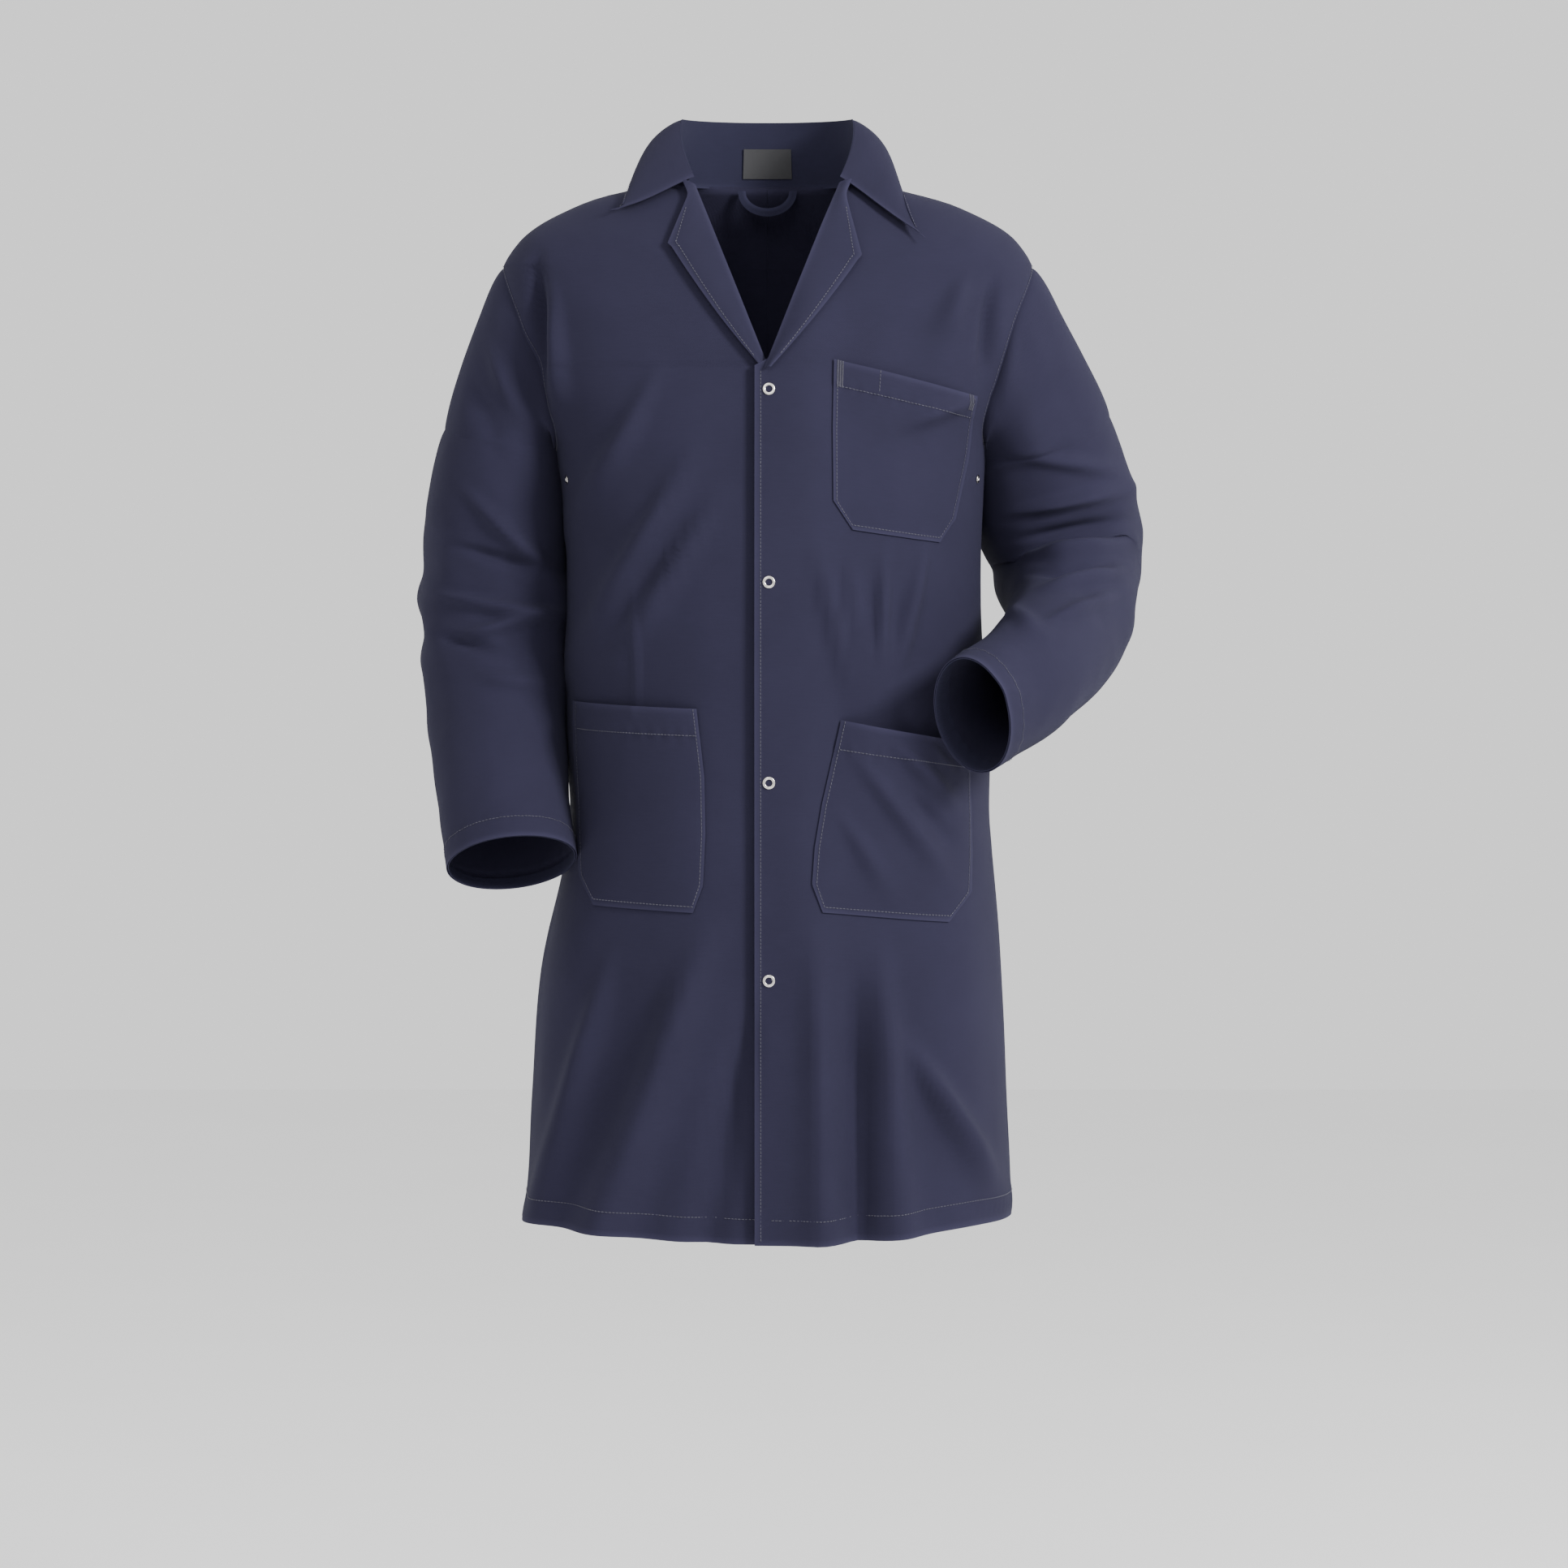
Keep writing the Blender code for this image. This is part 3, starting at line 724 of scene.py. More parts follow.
def neck_seam(row):
    """The row where a panel's top meets the foot of the collar."""
    turns = [math.atan2(point.x / NECK_ACROSS, point.y / NECK_DEPTH) for point in row]
    return [neck_ring(turn, 0.0068, 1.0475) for turn in turns]


def fold_ends(side):
    """Two points across a front's opening line, inward and outward of its middle, meant for where
    the front would start to bend and swing fully.
    """
    across, height = FOLD_TOP[0] + (FOLD_TOP[1] - 0.57) * FOLD_SLOPE, 0.57
    run = math.hypot(1.0, FOLD_SLOPE)
    inward = Vector((-side / run, 0.0, -FOLD_SLOPE / run))
    middle = at(side * across, -0.13, height)
    return middle - inward * 0.045, middle + inward * 0.072


def opens(piece, side):
    """Bakes a piece's placement into its mesh; the two points about its front's opening line are
    found but not used.
    """
    start, end = fold_ends(side)
    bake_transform(piece)


class Stitching:
    """Rows of topstitches, gathered into one piece."""

    def __init__(self):
        self.made = bmesh.new()

    def one(self, centre, along, normal, length):
        """One stitch: a small rounded bar lying on the cloth."""
        along = along.normalized()
        sideways = normal.cross(along).normalized()
        top = normal * (STITCH_WIDTH * 0.45)
        ends = (along * (-length / 2), along * (length / 2))
        crown = [self.made.verts.new(centre + end * 0.55 + top) for end in ends]
        base = []
        for end in ends:
            base.append(self.made.verts.new(centre + end * 0.8 + sideways * STITCH_WIDTH * 0.5))
            base.append(self.made.verts.new(centre + end - normal * 0.0001))
            base.append(self.made.verts.new(centre + end * 0.8 - sideways * STITCH_WIDTH * 0.5))
        a1, a2, a3, b1, b2, b3 = base
        low, high = crown
        faces = (
            (low, a2, a1), (low, a3, a2), (high, b1, b2), (high, b2, b3),
            (low, a1, b1, high), (low, high, b3, a3), (a1, a2, b2, b1), (a2, a3, b3, b2),
        )
        for face in faces:
            self.made.faces.new(face).smooth = True

    def along(self, points, normals, pitch=STITCH_PITCH):
        """Stitches at an even pitch along a run of surface points."""
        lengths = run_lengths(points)
        count = int(lengths[-1] / pitch)
        k = 0
        for i in range(count):
            wanted = (i + 0.5) * pitch
            while lengths[k + 1] < wanted and k < len(points) - 2:
                k += 1
            span = lengths[k + 1] - lengths[k]
            t = (wanted - lengths[k]) / span if span else 0.0
            centre = points[k].lerp(points[k + 1], t)
            normal = normals[k].lerp(normals[k + 1], t).normalized()
            self.one(centre + normal * 0.0003, points[k + 1] - points[k], normal, pitch * 0.72)

    def build(self, name):
        mesh = bpy.data.meshes.new(name)
        bmesh.ops.recalc_face_normals(self.made, faces=self.made.faces)
        self.made.to_mesh(mesh)
        self.made.free()
        mesh.materials.append(finish_named("navy_thread"))
        obj = bpy.data.objects.new(name, mesh)
        bpy.context.scene.collection.objects.link(obj)
        return obj


def front_path(corners, side):
    """Surface points and normals along straight runs between places on a front."""
    points, normals = [], []
    for (x0, h0), (x1, h1) in zip(corners, corners[1:]):
        count = max(int(math.hypot(x1 - x0, h1 - h0) / 0.006), 1)
        for i in range(count + 1):
            x = (x0 + (x1 - x0) * i / count) * side
            h = h0 + (h1 - h0) * i / count
            points.append(front_at(x, h, lap_lift(side, x)))
            here = 1 if x >= 0 else -1
            turn = turn_at(x, h) if abs(x) > 1e-5 else -1.0
            normals.append(outward(here, turn, h))
    return points, normals


# ---------------------------------------------------------------- settings


class LabCoatColours(bpy.types.PropertyGroup):
    navy: bpy.props.FloatVectorProperty(
        name="Twill", description="Colour of the coat's cloth", subtype="COLOR",
        default=(0.0200, 0.0186, 0.0375), min=0.0, max=1.0,
    )
    lining: bpy.props.FloatVectorProperty(
        name="Wrong side", description="Colour of the facings and the collar's inside",
        subtype="COLOR", default=(0.0200, 0.0195, 0.0390), min=0.0, max=1.0,
    )
    thread: bpy.props.FloatVectorProperty(
        name="Thread", description="Colour of the topstitching", subtype="COLOR",
        default=(0.0225, 0.0215, 0.0430), min=0.0, max=1.0,
    )
    nickel: bpy.props.FloatVectorProperty(
        name="Nickel", description="Colour of the snaps and eyelets", subtype="COLOR",
        default=(0.70, 0.67, 0.64), min=0.0, max=1.0,
    )
    # the label ribbon's own dark colour, set darker still as painted shade for the inside of the
    # neck
    label: bpy.props.FloatVectorProperty(
        name="Label", description="Colour of the blank neck label", subtype="COLOR",
        default=(0.012, 0.012, 0.015), min=0.0, max=1.0,
    )


class LabCoatSizes(bpy.types.PropertyGroup):
    cloth: bpy.props.FloatProperty(
        name="Cloth", description="Thickness of the twill", default=0.0009,
        min=0.0003, max=0.0016, unit="LENGTH",
    )
    snap_radius: bpy.props.FloatProperty(
        name="Snap", description="Outer radius of a snap ring", default=0.0062,
        min=0.004, max=0.008, unit="LENGTH",
    )
    snap_hole: bpy.props.FloatProperty(
        name="Snap hole", description="Radius of a snap ring's open middle", default=0.0033,
        min=0.002, max=0.005, unit="LENGTH",
    )
    camera_height: bpy.props.FloatProperty(
        name="Camera height", description="Height of the camera above the hem", default=0.74,
        unit="LENGTH",
    )
    camera_distance: bpy.props.FloatProperty(
        name="Camera distance", description="From the camera to the coat's middle", default=5.6,
        unit="LENGTH",
    )


def colours():
    return bpy.context.scene.lab_coat_colours


def sizes():
    return bpy.context.scene.lab_coat_sizes


def finish_named(name):
    """The coat's materials, each made once."""
    found = bpy.data.materials.get(name)
    if found:
        return found
    makers = {
        "coat_twill": lambda: twill(name, colours().navy),
        "twill_wrong_side": lambda: twill(name, colours().lining, sheen=0.02, line=0.0013),
        "navy_thread": lambda: thread(name, colours().thread),
        "snap_plating": lambda: nickel(name, colours().nickel),
        # the label's colour holds painted shade for the inside of the neck as well as the
        # ribbon's own dark colour
        "label_ribbon_painted_shade": lambda: label_cloth(name, colours().label),
    }
    return makers[name]()


def deselect_all():
    bpy.ops.object.select_all(action="DESELECT")


# ---------------------------------------------------------------- pieces


class LABCOAT_OT_stage(bpy.types.Operator):
    """Sets the pale floor, the soft light and the camera"""

    bl_idname = "labcoat.stage"
    bl_label = "Stage"

    def execute(self, context):
        deselect_all()
        bpy.ops.mesh.primitive_plane_add(size=14.0, location=at(0.0, 0.0, -FLOOR_DROP))
        floor = context.active_object
        floor.name = "floor"
        bpy.ops.object.transform_apply(location=True, rotation=False, scale=False)
        floor.data.materials.append(floor_finish("pale_floor"))

        world = bpy.data.worlds.new("studio")
        world.use_nodes = True
        sky = world.node_tree.nodes["Background"]
        sky.inputs["Color"].default_value = (1.0, 1.0, 1.0, 1.0)
        sky.inputs["Strength"].default_value = SKY_STRENGTH
        context.scene.world = world

        target = at(0.0, 0.0, 0.62)
        for name, place, size, power in LAMPS:
            lamp = bpy.data.lights.new(name, "AREA")
            lamp.size = size
            lamp.energy = power
            holder = bpy.data.objects.new(name, lamp)
            holder.location = place
            holder.rotation_euler = (target - Vector(place)).to_track_quat("-Z", "Y").to_euler()
            context.scene.collection.objects.link(holder)

        camera = bpy.data.cameras.new("camera")
        camera.sensor_width = 36.0
        eye = at(VIEW_ACROSS, -sizes().camera_distance, sizes().camera_height)
        aim = at(VIEW_ACROSS, VIEW_DEPTH, VIEW_MIDDLE)
        camera.lens = camera.sensor_width * (aim - eye).length / VIEW_WIDTH
        holder = bpy.data.objects.new("camera", camera)
        holder.location = eye
        holder.rotation_euler = (aim - eye).to_track_quat("-Z", "Y").to_euler()
        context.scene.collection.objects.link(holder)
        context.scene.camera = holder
        return {"FINISHED"}


class LABCOAT_OT_fronts(bpy.types.Operator):
    """Sews the two front panels, from the free edges to the side and shoulder seams"""

    bl_idname = "labcoat.fronts"
    bl_label = "Fronts"

    def execute(self, context):
        for word, side in SIDES:
            rows = [front_row(side, height) for height in row_heights(0.0, PANEL_TOP)]
            rows.append(neck_seam(rows[-1]))
            cloth = Cloth(word + "_front_cloth", rows, worn=("bottom", "start"))
            panel = sew(cloth, "coat_twill", INSIDE)
            opens(panel, side)
            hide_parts(word + "_front", word + "_side_front")
        return {"FINISHED"}


class LABCOAT_OT_backs(bpy.types.Operator):
    """Sews the two back panels, joined by a centre-back seam"""

    bl_idname = "labcoat.backs"
    bl_label = "Backs"

    def execute(self, context):
        for word, side in SIDES:
            rows = [back_row(side, height) for height in row_heights(0.0, PANEL_TOP)]
            rows.append(neck_seam(rows[-1]))
            cloth = Cloth(word + "_back_cloth", rows, worn=("bottom",))
            panel = sew(cloth, "coat_twill", INSIDE)
            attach(panel, "coat_body")
            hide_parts(word + "_back")
        return {"FINISHED"}


class LABCOAT_OT_facings(bpy.types.Operator):
    """Folds the facing in behind each front edge"""

    bl_idname = "labcoat.facings"
    bl_label = "Facings"

    def execute(self, context):
        for word, side in SIDES:
            edge = free_edge(side)
            rows = []
            for height in steps(0.003, LAPEL_BREAK - BREAK_GAP, 90):
                row = []
                for across in steps(edge + 0.0015, FACING_EDGE, 14):
                    lift = lap_lift(side, across) - FACING_DEPTH
                    row.append(front_at(side * across, height, lift))
                rows.append(row)
            cloth = Cloth(word + "_facing_cloth", rows, worn=("end",))
            strip = sew(cloth, "twill_wrong_side", INSIDE,
                        thickness=THIN_CLOTH)
            opens(strip, side)
            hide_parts(word + "_facing")
        return {"FINISHED"}


def lapel_rows(side):
    """Rows up a lapel, from the fold line out to its free edge, its point and its notch."""
    point_across, point_height = LAPEL_POINTS[side]
    reach = (point_height - LAPEL_BREAK) / (NECK_FOLD - LAPEL_BREAK)
    rows = []
    for t in steps(0.0, 1.0, 46):
        height = LAPEL_BREAK - BREAK_GAP + (NECK_FOLD - LAPEL_BREAK - 0.002) * t
        inner = roll_across(height) - 0.0012
        if t < reach:
            share = t / reach
            swell = share * 0.96 + 0.04 * math.sin(math.pi * share)
            outer = LAPEL_FOOT + (point_across - LAPEL_FOOT) * swell
        else:
            share = (t - reach) / (1 - reach)
            outer = point_across + (NOTCH_ACROSS - point_across) * min(share * 1.3, 1.0)
        outer = max(outer, inner + 0.002 + 0.010 * t)
        row = []
        for s in steps(0.0, 1.0, 20):
            across = inner + (outer - inner) * s
            roll = LAPEL_ROLL * math.sin(math.pi * min(s * 0.62 + 0.02, 1.0)) + 0.0012
            level = min(height, FRONT_TOP)
            point = front_at(side * across, level, lap_lift(side, across) + roll)
            row.append(point + Vector((0, 0, height - level)))
        rows.append(row)
    return rows


class LABCOAT_OT_lapels(bpy.types.Operator):
    """Turns back the lapels along their fold lines"""

    bl_idname = "labcoat.lapels"
    bl_label = "Lapels"

    def execute(self, context):
        for word, side in SIDES:
            cloth = Cloth(word + "_lapel_cloth", lapel_rows(side), worn=("end", "start"))
            piece = sew(cloth, "coat_twill", INSIDE)
            opens(piece, side)
            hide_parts(word + "_lapel")
        return {"FINISHED"}


# each pocket: its inner and outer sides from the bottom up, across and height, and where
# the places stand on the way up
CHEST_POCKET = (
    ((0.084, 0.7016), (0.0645, 0.730), (0.0640, 0.800), (0.0655, 0.868)),
    ((0.1690, 0.689), (0.1835, 0.712), (0.1960, 0.775), (0.2065, 0.834)),
    (0.0, 0.17, 0.56, 1.0),
)
LEFT_POCKET = (
    ((0.054, 0.328), (0.0435, 0.356), (0.0460, 0.392), (0.0530, 0.434), (0.072, 0.516)),
    ((0.178, 0.315), (0.2010, 0.343), (0.2020, 0.378), (0.2010, 0.420), (0.1985, 0.488)),
    (0.0, 0.15, 0.34, 0.58, 1.0),
)
RIGHT_POCKET = (
    ((0.072, 0.327), (0.0620, 0.354), (0.0595, 0.405), (0.0605, 0.460), (0.0680, 0.527)),
    ((0.170, 0.331), (0.1840, 0.360), (0.1860, 0.410), (0.1870, 0.463), (0.1860, 0.531)),
    (0.0, 0.14, 0.38, 0.66, 1.0),
)


def on_outline(outline, marks, v):
    """A place along one side of a pocket, v up from its bottom."""
    i = max(k for k in range(len(marks) - 1) if marks[k] <= v)
    t = (v - marks[i]) / (marks[i + 1] - marks[i])
    (ax, ah), (bx, bh) = outline[i], outline[i + 1]
    return ax + (bx - ax) * t, ah + (bh - ah) * t


class PocketShape:
    """Where a patch pocket's cloth lies over its front."""

    def __init__(self, side, outline, cut, bulge, gape, folds=()):
        self.side = side
        self.cut = cut
        self.inner, self.outer, self.marks = outline
        self.length = self.inner[-1][1] - self.inner[0][1]
        self.bulge = bulge
        self.gape = gape
        self.folds = folds

    def place(self, u, v):
        """Across and height of the place u across and v up the pocket."""
        ax, ah = on_outline(self.inner, self.marks, v)
        bx, bh = on_outline(self.outer, self.marks, v)
        return ax + (bx - ax) * u, ah + (bh - ah) * u

    def lift(self, u, v, across, height):
        """How far the pocket stands off its front: flat at its seams, loose at its mouth."""
        sewn = math.sin(math.pi * u) ** 0.7 if 0 < u < 1 else 0.0
        rise = math.sin(math.pi / 2 * min(v * 1.5, 1.0)) ** 0.9
        lift = 0.0017 + self.bulge * sewn * rise
        lift += self.gape * sewn * smooth(0.6, 1.0, v)
        if self.folds:
            lift += fold_rise(self.folds, across, height) * sewn
        below_top = (1 - v) * self.length
        hem = smooth(POCKET_HEM + 0.001, POCKET_HEM - 0.001, below_top)
        return lift + 0.0007 * hem + hem_ripple(across, below_top - POCKET_HEM)

    def point(self, u, v):
        across, height = self.place(u, v)
        x = self.side * across
        return front_at(x, height, lap_lift(self.side, x) + self.lift(u, v, across, height))

    def path(self, corners, count=40):
        """Points and normals along straight runs between (u, v) places on the pocket."""
        points, normals = [], []
        for (u0, v0), (u1, v1) in zip(corners, corners[1:]):
            for i in range(count + 1):
                u, v = u0 + (u1 - u0) * i / count, v0 + (v1 - v0) * i / count
                points.append(self.point(u, v))
                across, height = self.place(u, v)
                x = self.side * across
                normals.append(outward(self.side, turn_at(x, height), height))
        return points, normals


# places across the chest pocket, from 0 to 1
PEN_SLOT = 0.32
BAR_TACKS = ((0.02, 0.085, 0.028, 26), (0.93, 0.975, 0.018, 16))  # from, to, depth, rows
POCKETS = {
    "chest_pocket": PocketShape(1, CHEST_POCKET, (0.15, 0.19), 0.0022, 0.0020),
    "left_pocket": PocketShape(1, LEFT_POCKET, (0.17, 0.22), 0.0120, 0.0050, LEFT_POCKET_FOLDS),
    "right_pocket": PocketShape(-1, RIGHT_POCKET, (0.17, 0.22), 0.0040, 0.0028),
}


class LABCOAT_OT_pockets(bpy.types.Operator):
    """Sews on the chest pocket and the two lower patch pockets"""

    bl_idname = "labcoat.pockets"
    bl_label = "Pockets"

    def execute(self, context):
        for name, shape in POCKETS.items():
            rows = [[shape.point(u, v) for u in steps(0, 1, 44)] for v in steps(0, 1, 60)]
            edges = ("bottom", "top", "start", "end")
            cloth = Cloth(name + "_cloth", rows, worn=edges, offset=(0.3, 0.7))
            piece = sew(cloth, "coat_twill", INSIDE)
            opens(piece, shape.side)
            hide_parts(name)
        return {"FINISHED"}


def sleeve_places(table, count):
    """Centre and radii along a smooth curve through a sleeve's own points."""
    last = len(table) - 1
    places = []
    for t in steps(0, last, count):
        i = min(int(t), last - 1)
        s = t - i
        a, b = at(*table[i][:3]), at(*table[i + 1][:3])
        before = at(*table[max(i - 1, 0)][:3])
        after = at(*table[min(i + 2, last)][:3])
        wide = table[i][3] + (table[i + 1][3] - table[i][3]) * s
        deep = table[i][4] + (table[i + 1][4] - table[i][4]) * s
        places.append((hermite(before, a, b, after, s), wide, deep, t))
    return places


def centre_of(row):
    """The middle of a ring of points."""
    return sum(row, Vector()) / len(row)


def arm_rise(folds, point, normal, t):
    """The folds, creases and hang of a sleeve; t counts down the sleeve's stations."""
    facing = smooth(-0.15, 0.55, -normal.y)
    rise = fold_rise(folds, point.x, point.z + NECK_HEIGHT) * facing
    crease = math.exp(-(((t - 2.1) / 0.9) ** 2)) * (1 - 0.55 * facing)
    swirl = Vector((normal.x * 1.6, normal.y * 1.6, point.z * 26.0 + normal.x * 1.2))
    rise += noise.noise(swirl) * 0.0105 * crease
    rise += drape(point, stretch=1.6, scale=11.0, size=0.0036)
    return rise


def head_place(side, point, centre, down, folds, s):
    """A place s of the way from the armhole to a point of the sleeve's first ring."""
    reach = point - centre
    swing = math.atan2(-reach.y, side * reach.x)
    level = ARMHOLE_MIDDLE + ARMHOLE_HALF * math.cos(swing)
    turn = -ARMHOLE_REACH * math.sin(swing)
    start = body_at(side, turn, level)
    away = outward(side, turn, level)
    start += away * (body_rise(start, level, start.x) - 0.0012)
    upper = max(math.cos(swing), 0.0)
    leave = away * 0.036 + Vector((side * 0.010 * upper, 0, -0.028))
    arrive = down * 0.075
    place = (
        start * (2 * s**3 - 3 * s**2 + 1)
        + leave * (s**3 - 2 * s**2 + s)
        + point * (3 * s**2 - 2 * s**3)
        + arrive * (s**3 - s**2)
    )
    normal = (reach.normalized() + away).normalized()
    rise = fold_rise(folds, place.x, place.z + NECK_HEIGHT) * smooth(-0.1, 0.5, -normal.y)
    rise += drape(place, stretch=2.0, scale=12.0, size=0.0040)
    return place + normal * rise * math.sin(math.pi * s) ** 0.7


def sleeve_grid(side, table, folds, ring=88, head=36, count=150):
    """All rows of a sleeve from the armhole to the cuff, and how far down each one is."""
    places = sleeve_places(table, count)
    cuff = places[-1][0]
    rows, marks, downwards = [], [], []
    for k, (centre, wide, deep, t) in enumerate(places):
        before = places[max(k - 1, 0)][0]
        after = places[min(k + 1, count - 1)][0]
        along = (after - before).normalized()
        sideways = (Vector((1, 0, 0)) - along * along.x).normalized()
        deepways = along.cross(sideways).normalized()
        row = []
        for i in range(ring):
            angle = 2 * math.pi * i / ring + (math.pi if side > 0 else 0.0)
            offset = sideways * wide * math.cos(angle) + deepways * deep * math.sin(angle)
            normal = (sideways * math.cos(angle) / wide + deepways * math.sin(angle) / deep)
            normal.normalize()
            rise = arm_rise(folds, centre + offset, normal, t) * smooth(-0.3, 0.35, t)
            left_to_cuff = (cuff - centre).length
            rise *= 0.35 + 0.65 * smooth(0.0, 0.05, left_to_cuff)
            rise += 0.0007 * smooth(CUFF_DEPTH + 0.0015, CUFF_DEPTH - 0.0015, left_to_cuff)
            rise += hem_ripple(angle * wide, left_to_cuff - CUFF_DEPTH)
            row.append(centre + offset + normal * rise)
        rows.append(row)
        marks.append(t)
        downwards.append(along)

    head_rows = []
    for s in steps(0.0, 1.0, head)[:-1]:
        head_rows.append(
            [head_place(side, point, places[0][0], downwards[0], folds, s) for point in rows[0]]
        )
        marks.insert(len(head_rows) - 1, s - 1.0)
    return head_rows + rows, marks


ARMS = {
    "right": {
        "side": -1, "table": RIGHT_SLEEVE, "split": 1.2, "folds": RIGHT_ARM_FOLDS,
        "shoulder": ((-0.206, 0.010, 0.783), (-0.233, 0.010, 0.766)),
        "elbow": ((-0.273, 0.020, 0.692), (-0.273, 0.010, 0.590)),
    },
    "left": {
        "side": 1, "table": LEFT_SLEEVE, "split": 1.0, "folds": LEFT_ARM_FOLDS,
        "shoulder": ((0.206, 0.010, 0.783), (0.233, 0.010, 0.766)),
        "elbow": ((0.300, 0.060, 0.724), (0.300, -0.030, 0.615)),
    },
}


class LABCOAT_OT_sleeves(bpy.types.Operator):
    """Sets in the two sleeves, each in an upper and a lower piece, with a hem inside each cuff"""

    bl_idname = "labcoat.sleeves"
    bl_label = "Sleeves"

    def execute(self, context):
        for word, arm in ARMS.items():
            rows, marks = sleeve_grid(arm["side"], arm["table"], arm["folds"])
            cut = max(k for k, t in enumerate(marks) if t <= arm["split"])

            upper = Cloth(word + "_upper_sleeve_cloth", rows[: cut + 1], closed=True)
            piece = sew(upper, "coat_twill", centre_of(rows[cut // 2]))
            start, end = (at(*place) for place in arm["shoulder"])
            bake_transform(piece)
            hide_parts(word + "_sleeve_head", word + "_upper_sleeve")

            lower = Cloth(word + "_lower_sleeve_cloth", rows[cut:], closed=True, worn=("top",))
            middle = centre_of(rows[(cut + len(rows)) // 2])
            piece = sew(lower, "coat_twill", middle)
            start, end = (at(*place) for place in arm["elbow"])
            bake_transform(piece)
            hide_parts(word + "_lower_sleeve")

            hem_rows = []
            for row in rows[-CUFF_ROWS:]:
                centre = centre_of(row)
                hem_rows.append([p + (centre - p).normalized() * 0.0017 for p in row])
            hem = Cloth(word + "_cuff_hem_cloth", hem_rows, closed=True, worn=("top",))
            middle = centre_of(hem_rows[CUFF_ROWS // 2])
            piece = sew(hem, "twill_wrong_side", middle,
                        THIN_CLOTH)
            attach(piece, word + "_forearm")
            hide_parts(word + "_cuff_hem")
        return {"FINISHED"}


def neck_ring(angle, spread, height):
    """A point round the neck, spread out from the opening; the angle is 0 at the back."""
    across, depth = NECK_ACROSS + spread, NECK_DEPTH + spread
    return at(across * math.sin(angle), depth * math.cos(angle), height)


def fold_height(angle):
    """The collar's fold: level round the back, falling to the lapel in front."""
    share = max((abs(angle) - math.radians(80)) / math.radians(45), 0)
    return COLLAR_TOP - COLLAR_DROP * share**1.2


def clear_of_body(point, clearance):
    """The point, moved forward or up, whichever is nearer, where it would sink into the body."""
    side = 1 if point.x >= 0 else -1
    height = point.z + NECK_HEIGHT
    forward = up = None
    while height < STATIONS[-1][0] and abs(point.x) < station(height)[1 if side > 0 else 0]:
        turn = turn_at(point.x, height)
        front, back = body_at(side, turn, height).y, body_at(side, -turn, height).y
        if not front - clearance < point.y < back:
            break
        if forward is None:
            forward = point.y - front + clearance
        height += 0.0005
        up = height + clearance - NECK_HEIGHT - point.z
    if up is None:
        return point
    if forward < up:
        return point - Vector((0, forward, 0))
    return point + Vector((0, 0, up))


def leaf_rows(across=110, down=26):
    """Rows down the collar leaf, from the fold round the neck to its free edge and points."""
    rows = []
    limit = math.radians(124)
    for s in steps(0.0, 1.0, down):
        row = []
        for angle in steps(-limit, limit, across):
            share = max((abs(angle) - math.radians(62)) / math.radians(62), 0.0)
            start = neck_ring(angle, 0.0015, fold_height(angle) + 0.0006)
            drop = 0.052 - 0.006 * math.sin(angle) ** 2
            fall = Vector((math.sin(angle) * 0.036, math.cos(angle) * 0.028, -drop))
            side = 1 if angle > 0 else -1
            tip_height = POINT_HEIGHTS[side]
            chest = front_at(side * 0.156, tip_height)
            tip = at(side * 0.157, chest.y - 0.013, tip_height)
            end = (start + fall).lerp(tip, share**1.4)
            arch = Vector((math.sin(angle), math.cos(angle) * 0.8, 0.55)) * 0.011
            wave = 0.0016 * math.sin(angle * 7.0 + 0.8) * s
            place = start.lerp(end, s) + arch * math.sin(math.pi * s) ** 0.8
            place += Vector((math.sin(angle), math.cos(angle), 0)) * wave
            place.z -= 0.013 * math.sin(math.pi * s) * share**2
            row.append(clear_of_body(place, COLLAR_CLEARANCE))
        rows.append(row)
    return relaxed(rows)


def relaxed(rows, times=4):
    """The grid with each point drawn towards its neighbours; its corners stay."""
    last, end = len(rows) - 1, len(rows[0]) - 1
    for _ in range(times):
        made = []
        for r, row in enumerate(rows):
            fresh = []
            for c, point in enumerate(row):
                near = []
                if 0 < r < last:
                    near += [rows[r - 1][c], rows[r + 1][c]]
                if 0 < c < end:
                    near += [row[c - 1], row[c + 1]]
                fresh.append(point.lerp(sum(near, Vector()) / len(near), 0.6) if near else point)
            made.append(fresh)
        rows = made
    return rows


def stand_spread(s):
    """How far the collar stand's outer face lies outside the neck opening, s up from its foot."""
    return 0.006 * (1 - s) + 0.0012


def stand_rows(across=90, up=14):
    """Rows up the collar stand, from the neck seam to the fold."""
    rows = []
    limit = math.radians(121)
    for s in steps(0.0, 1.0, up):
        row = []
        for angle in steps(-limit, limit, across):
            top = fold_height(angle) + 0.0004
            low = STAND_LOW if abs(angle) < math.radians(95) else STAND_LOW - 0.0015
            height = min(low, top - 0.004) * (1 - s) + top * s
            row.append(neck_ring(angle, stand_spread(s), height))
        rows.append(row)
    return rows


class LABCOAT_OT_collar(bpy.types.Operator):
    """Sews the collar: the stand inside and the leaf that falls over it"""

    bl_idname = "labcoat.collar"
    bl_label = "Collar"

    def execute(self, context):
        leaf = Cloth("collar_leaf_cloth", leaf_rows(), worn=("top", "start", "end"))
        piece = sew(leaf, "coat_twill", at(0, 0, 1.03),
                    THICK_CLOTH)
        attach(piece, "collar")
        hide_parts("collar_leaf")

        stand = Cloth("collar_stand_cloth", stand_rows(), worn=("bottom",))
        piece = sew(stand, "twill_wrong_side", at(0, 0, 1.08),
                    STAND_CLOTH)
        at(0, 0, 1.047)
        at(0, 0, 1.099)
        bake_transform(piece)
        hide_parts("collar_stand")
        return {"FINISHED"}


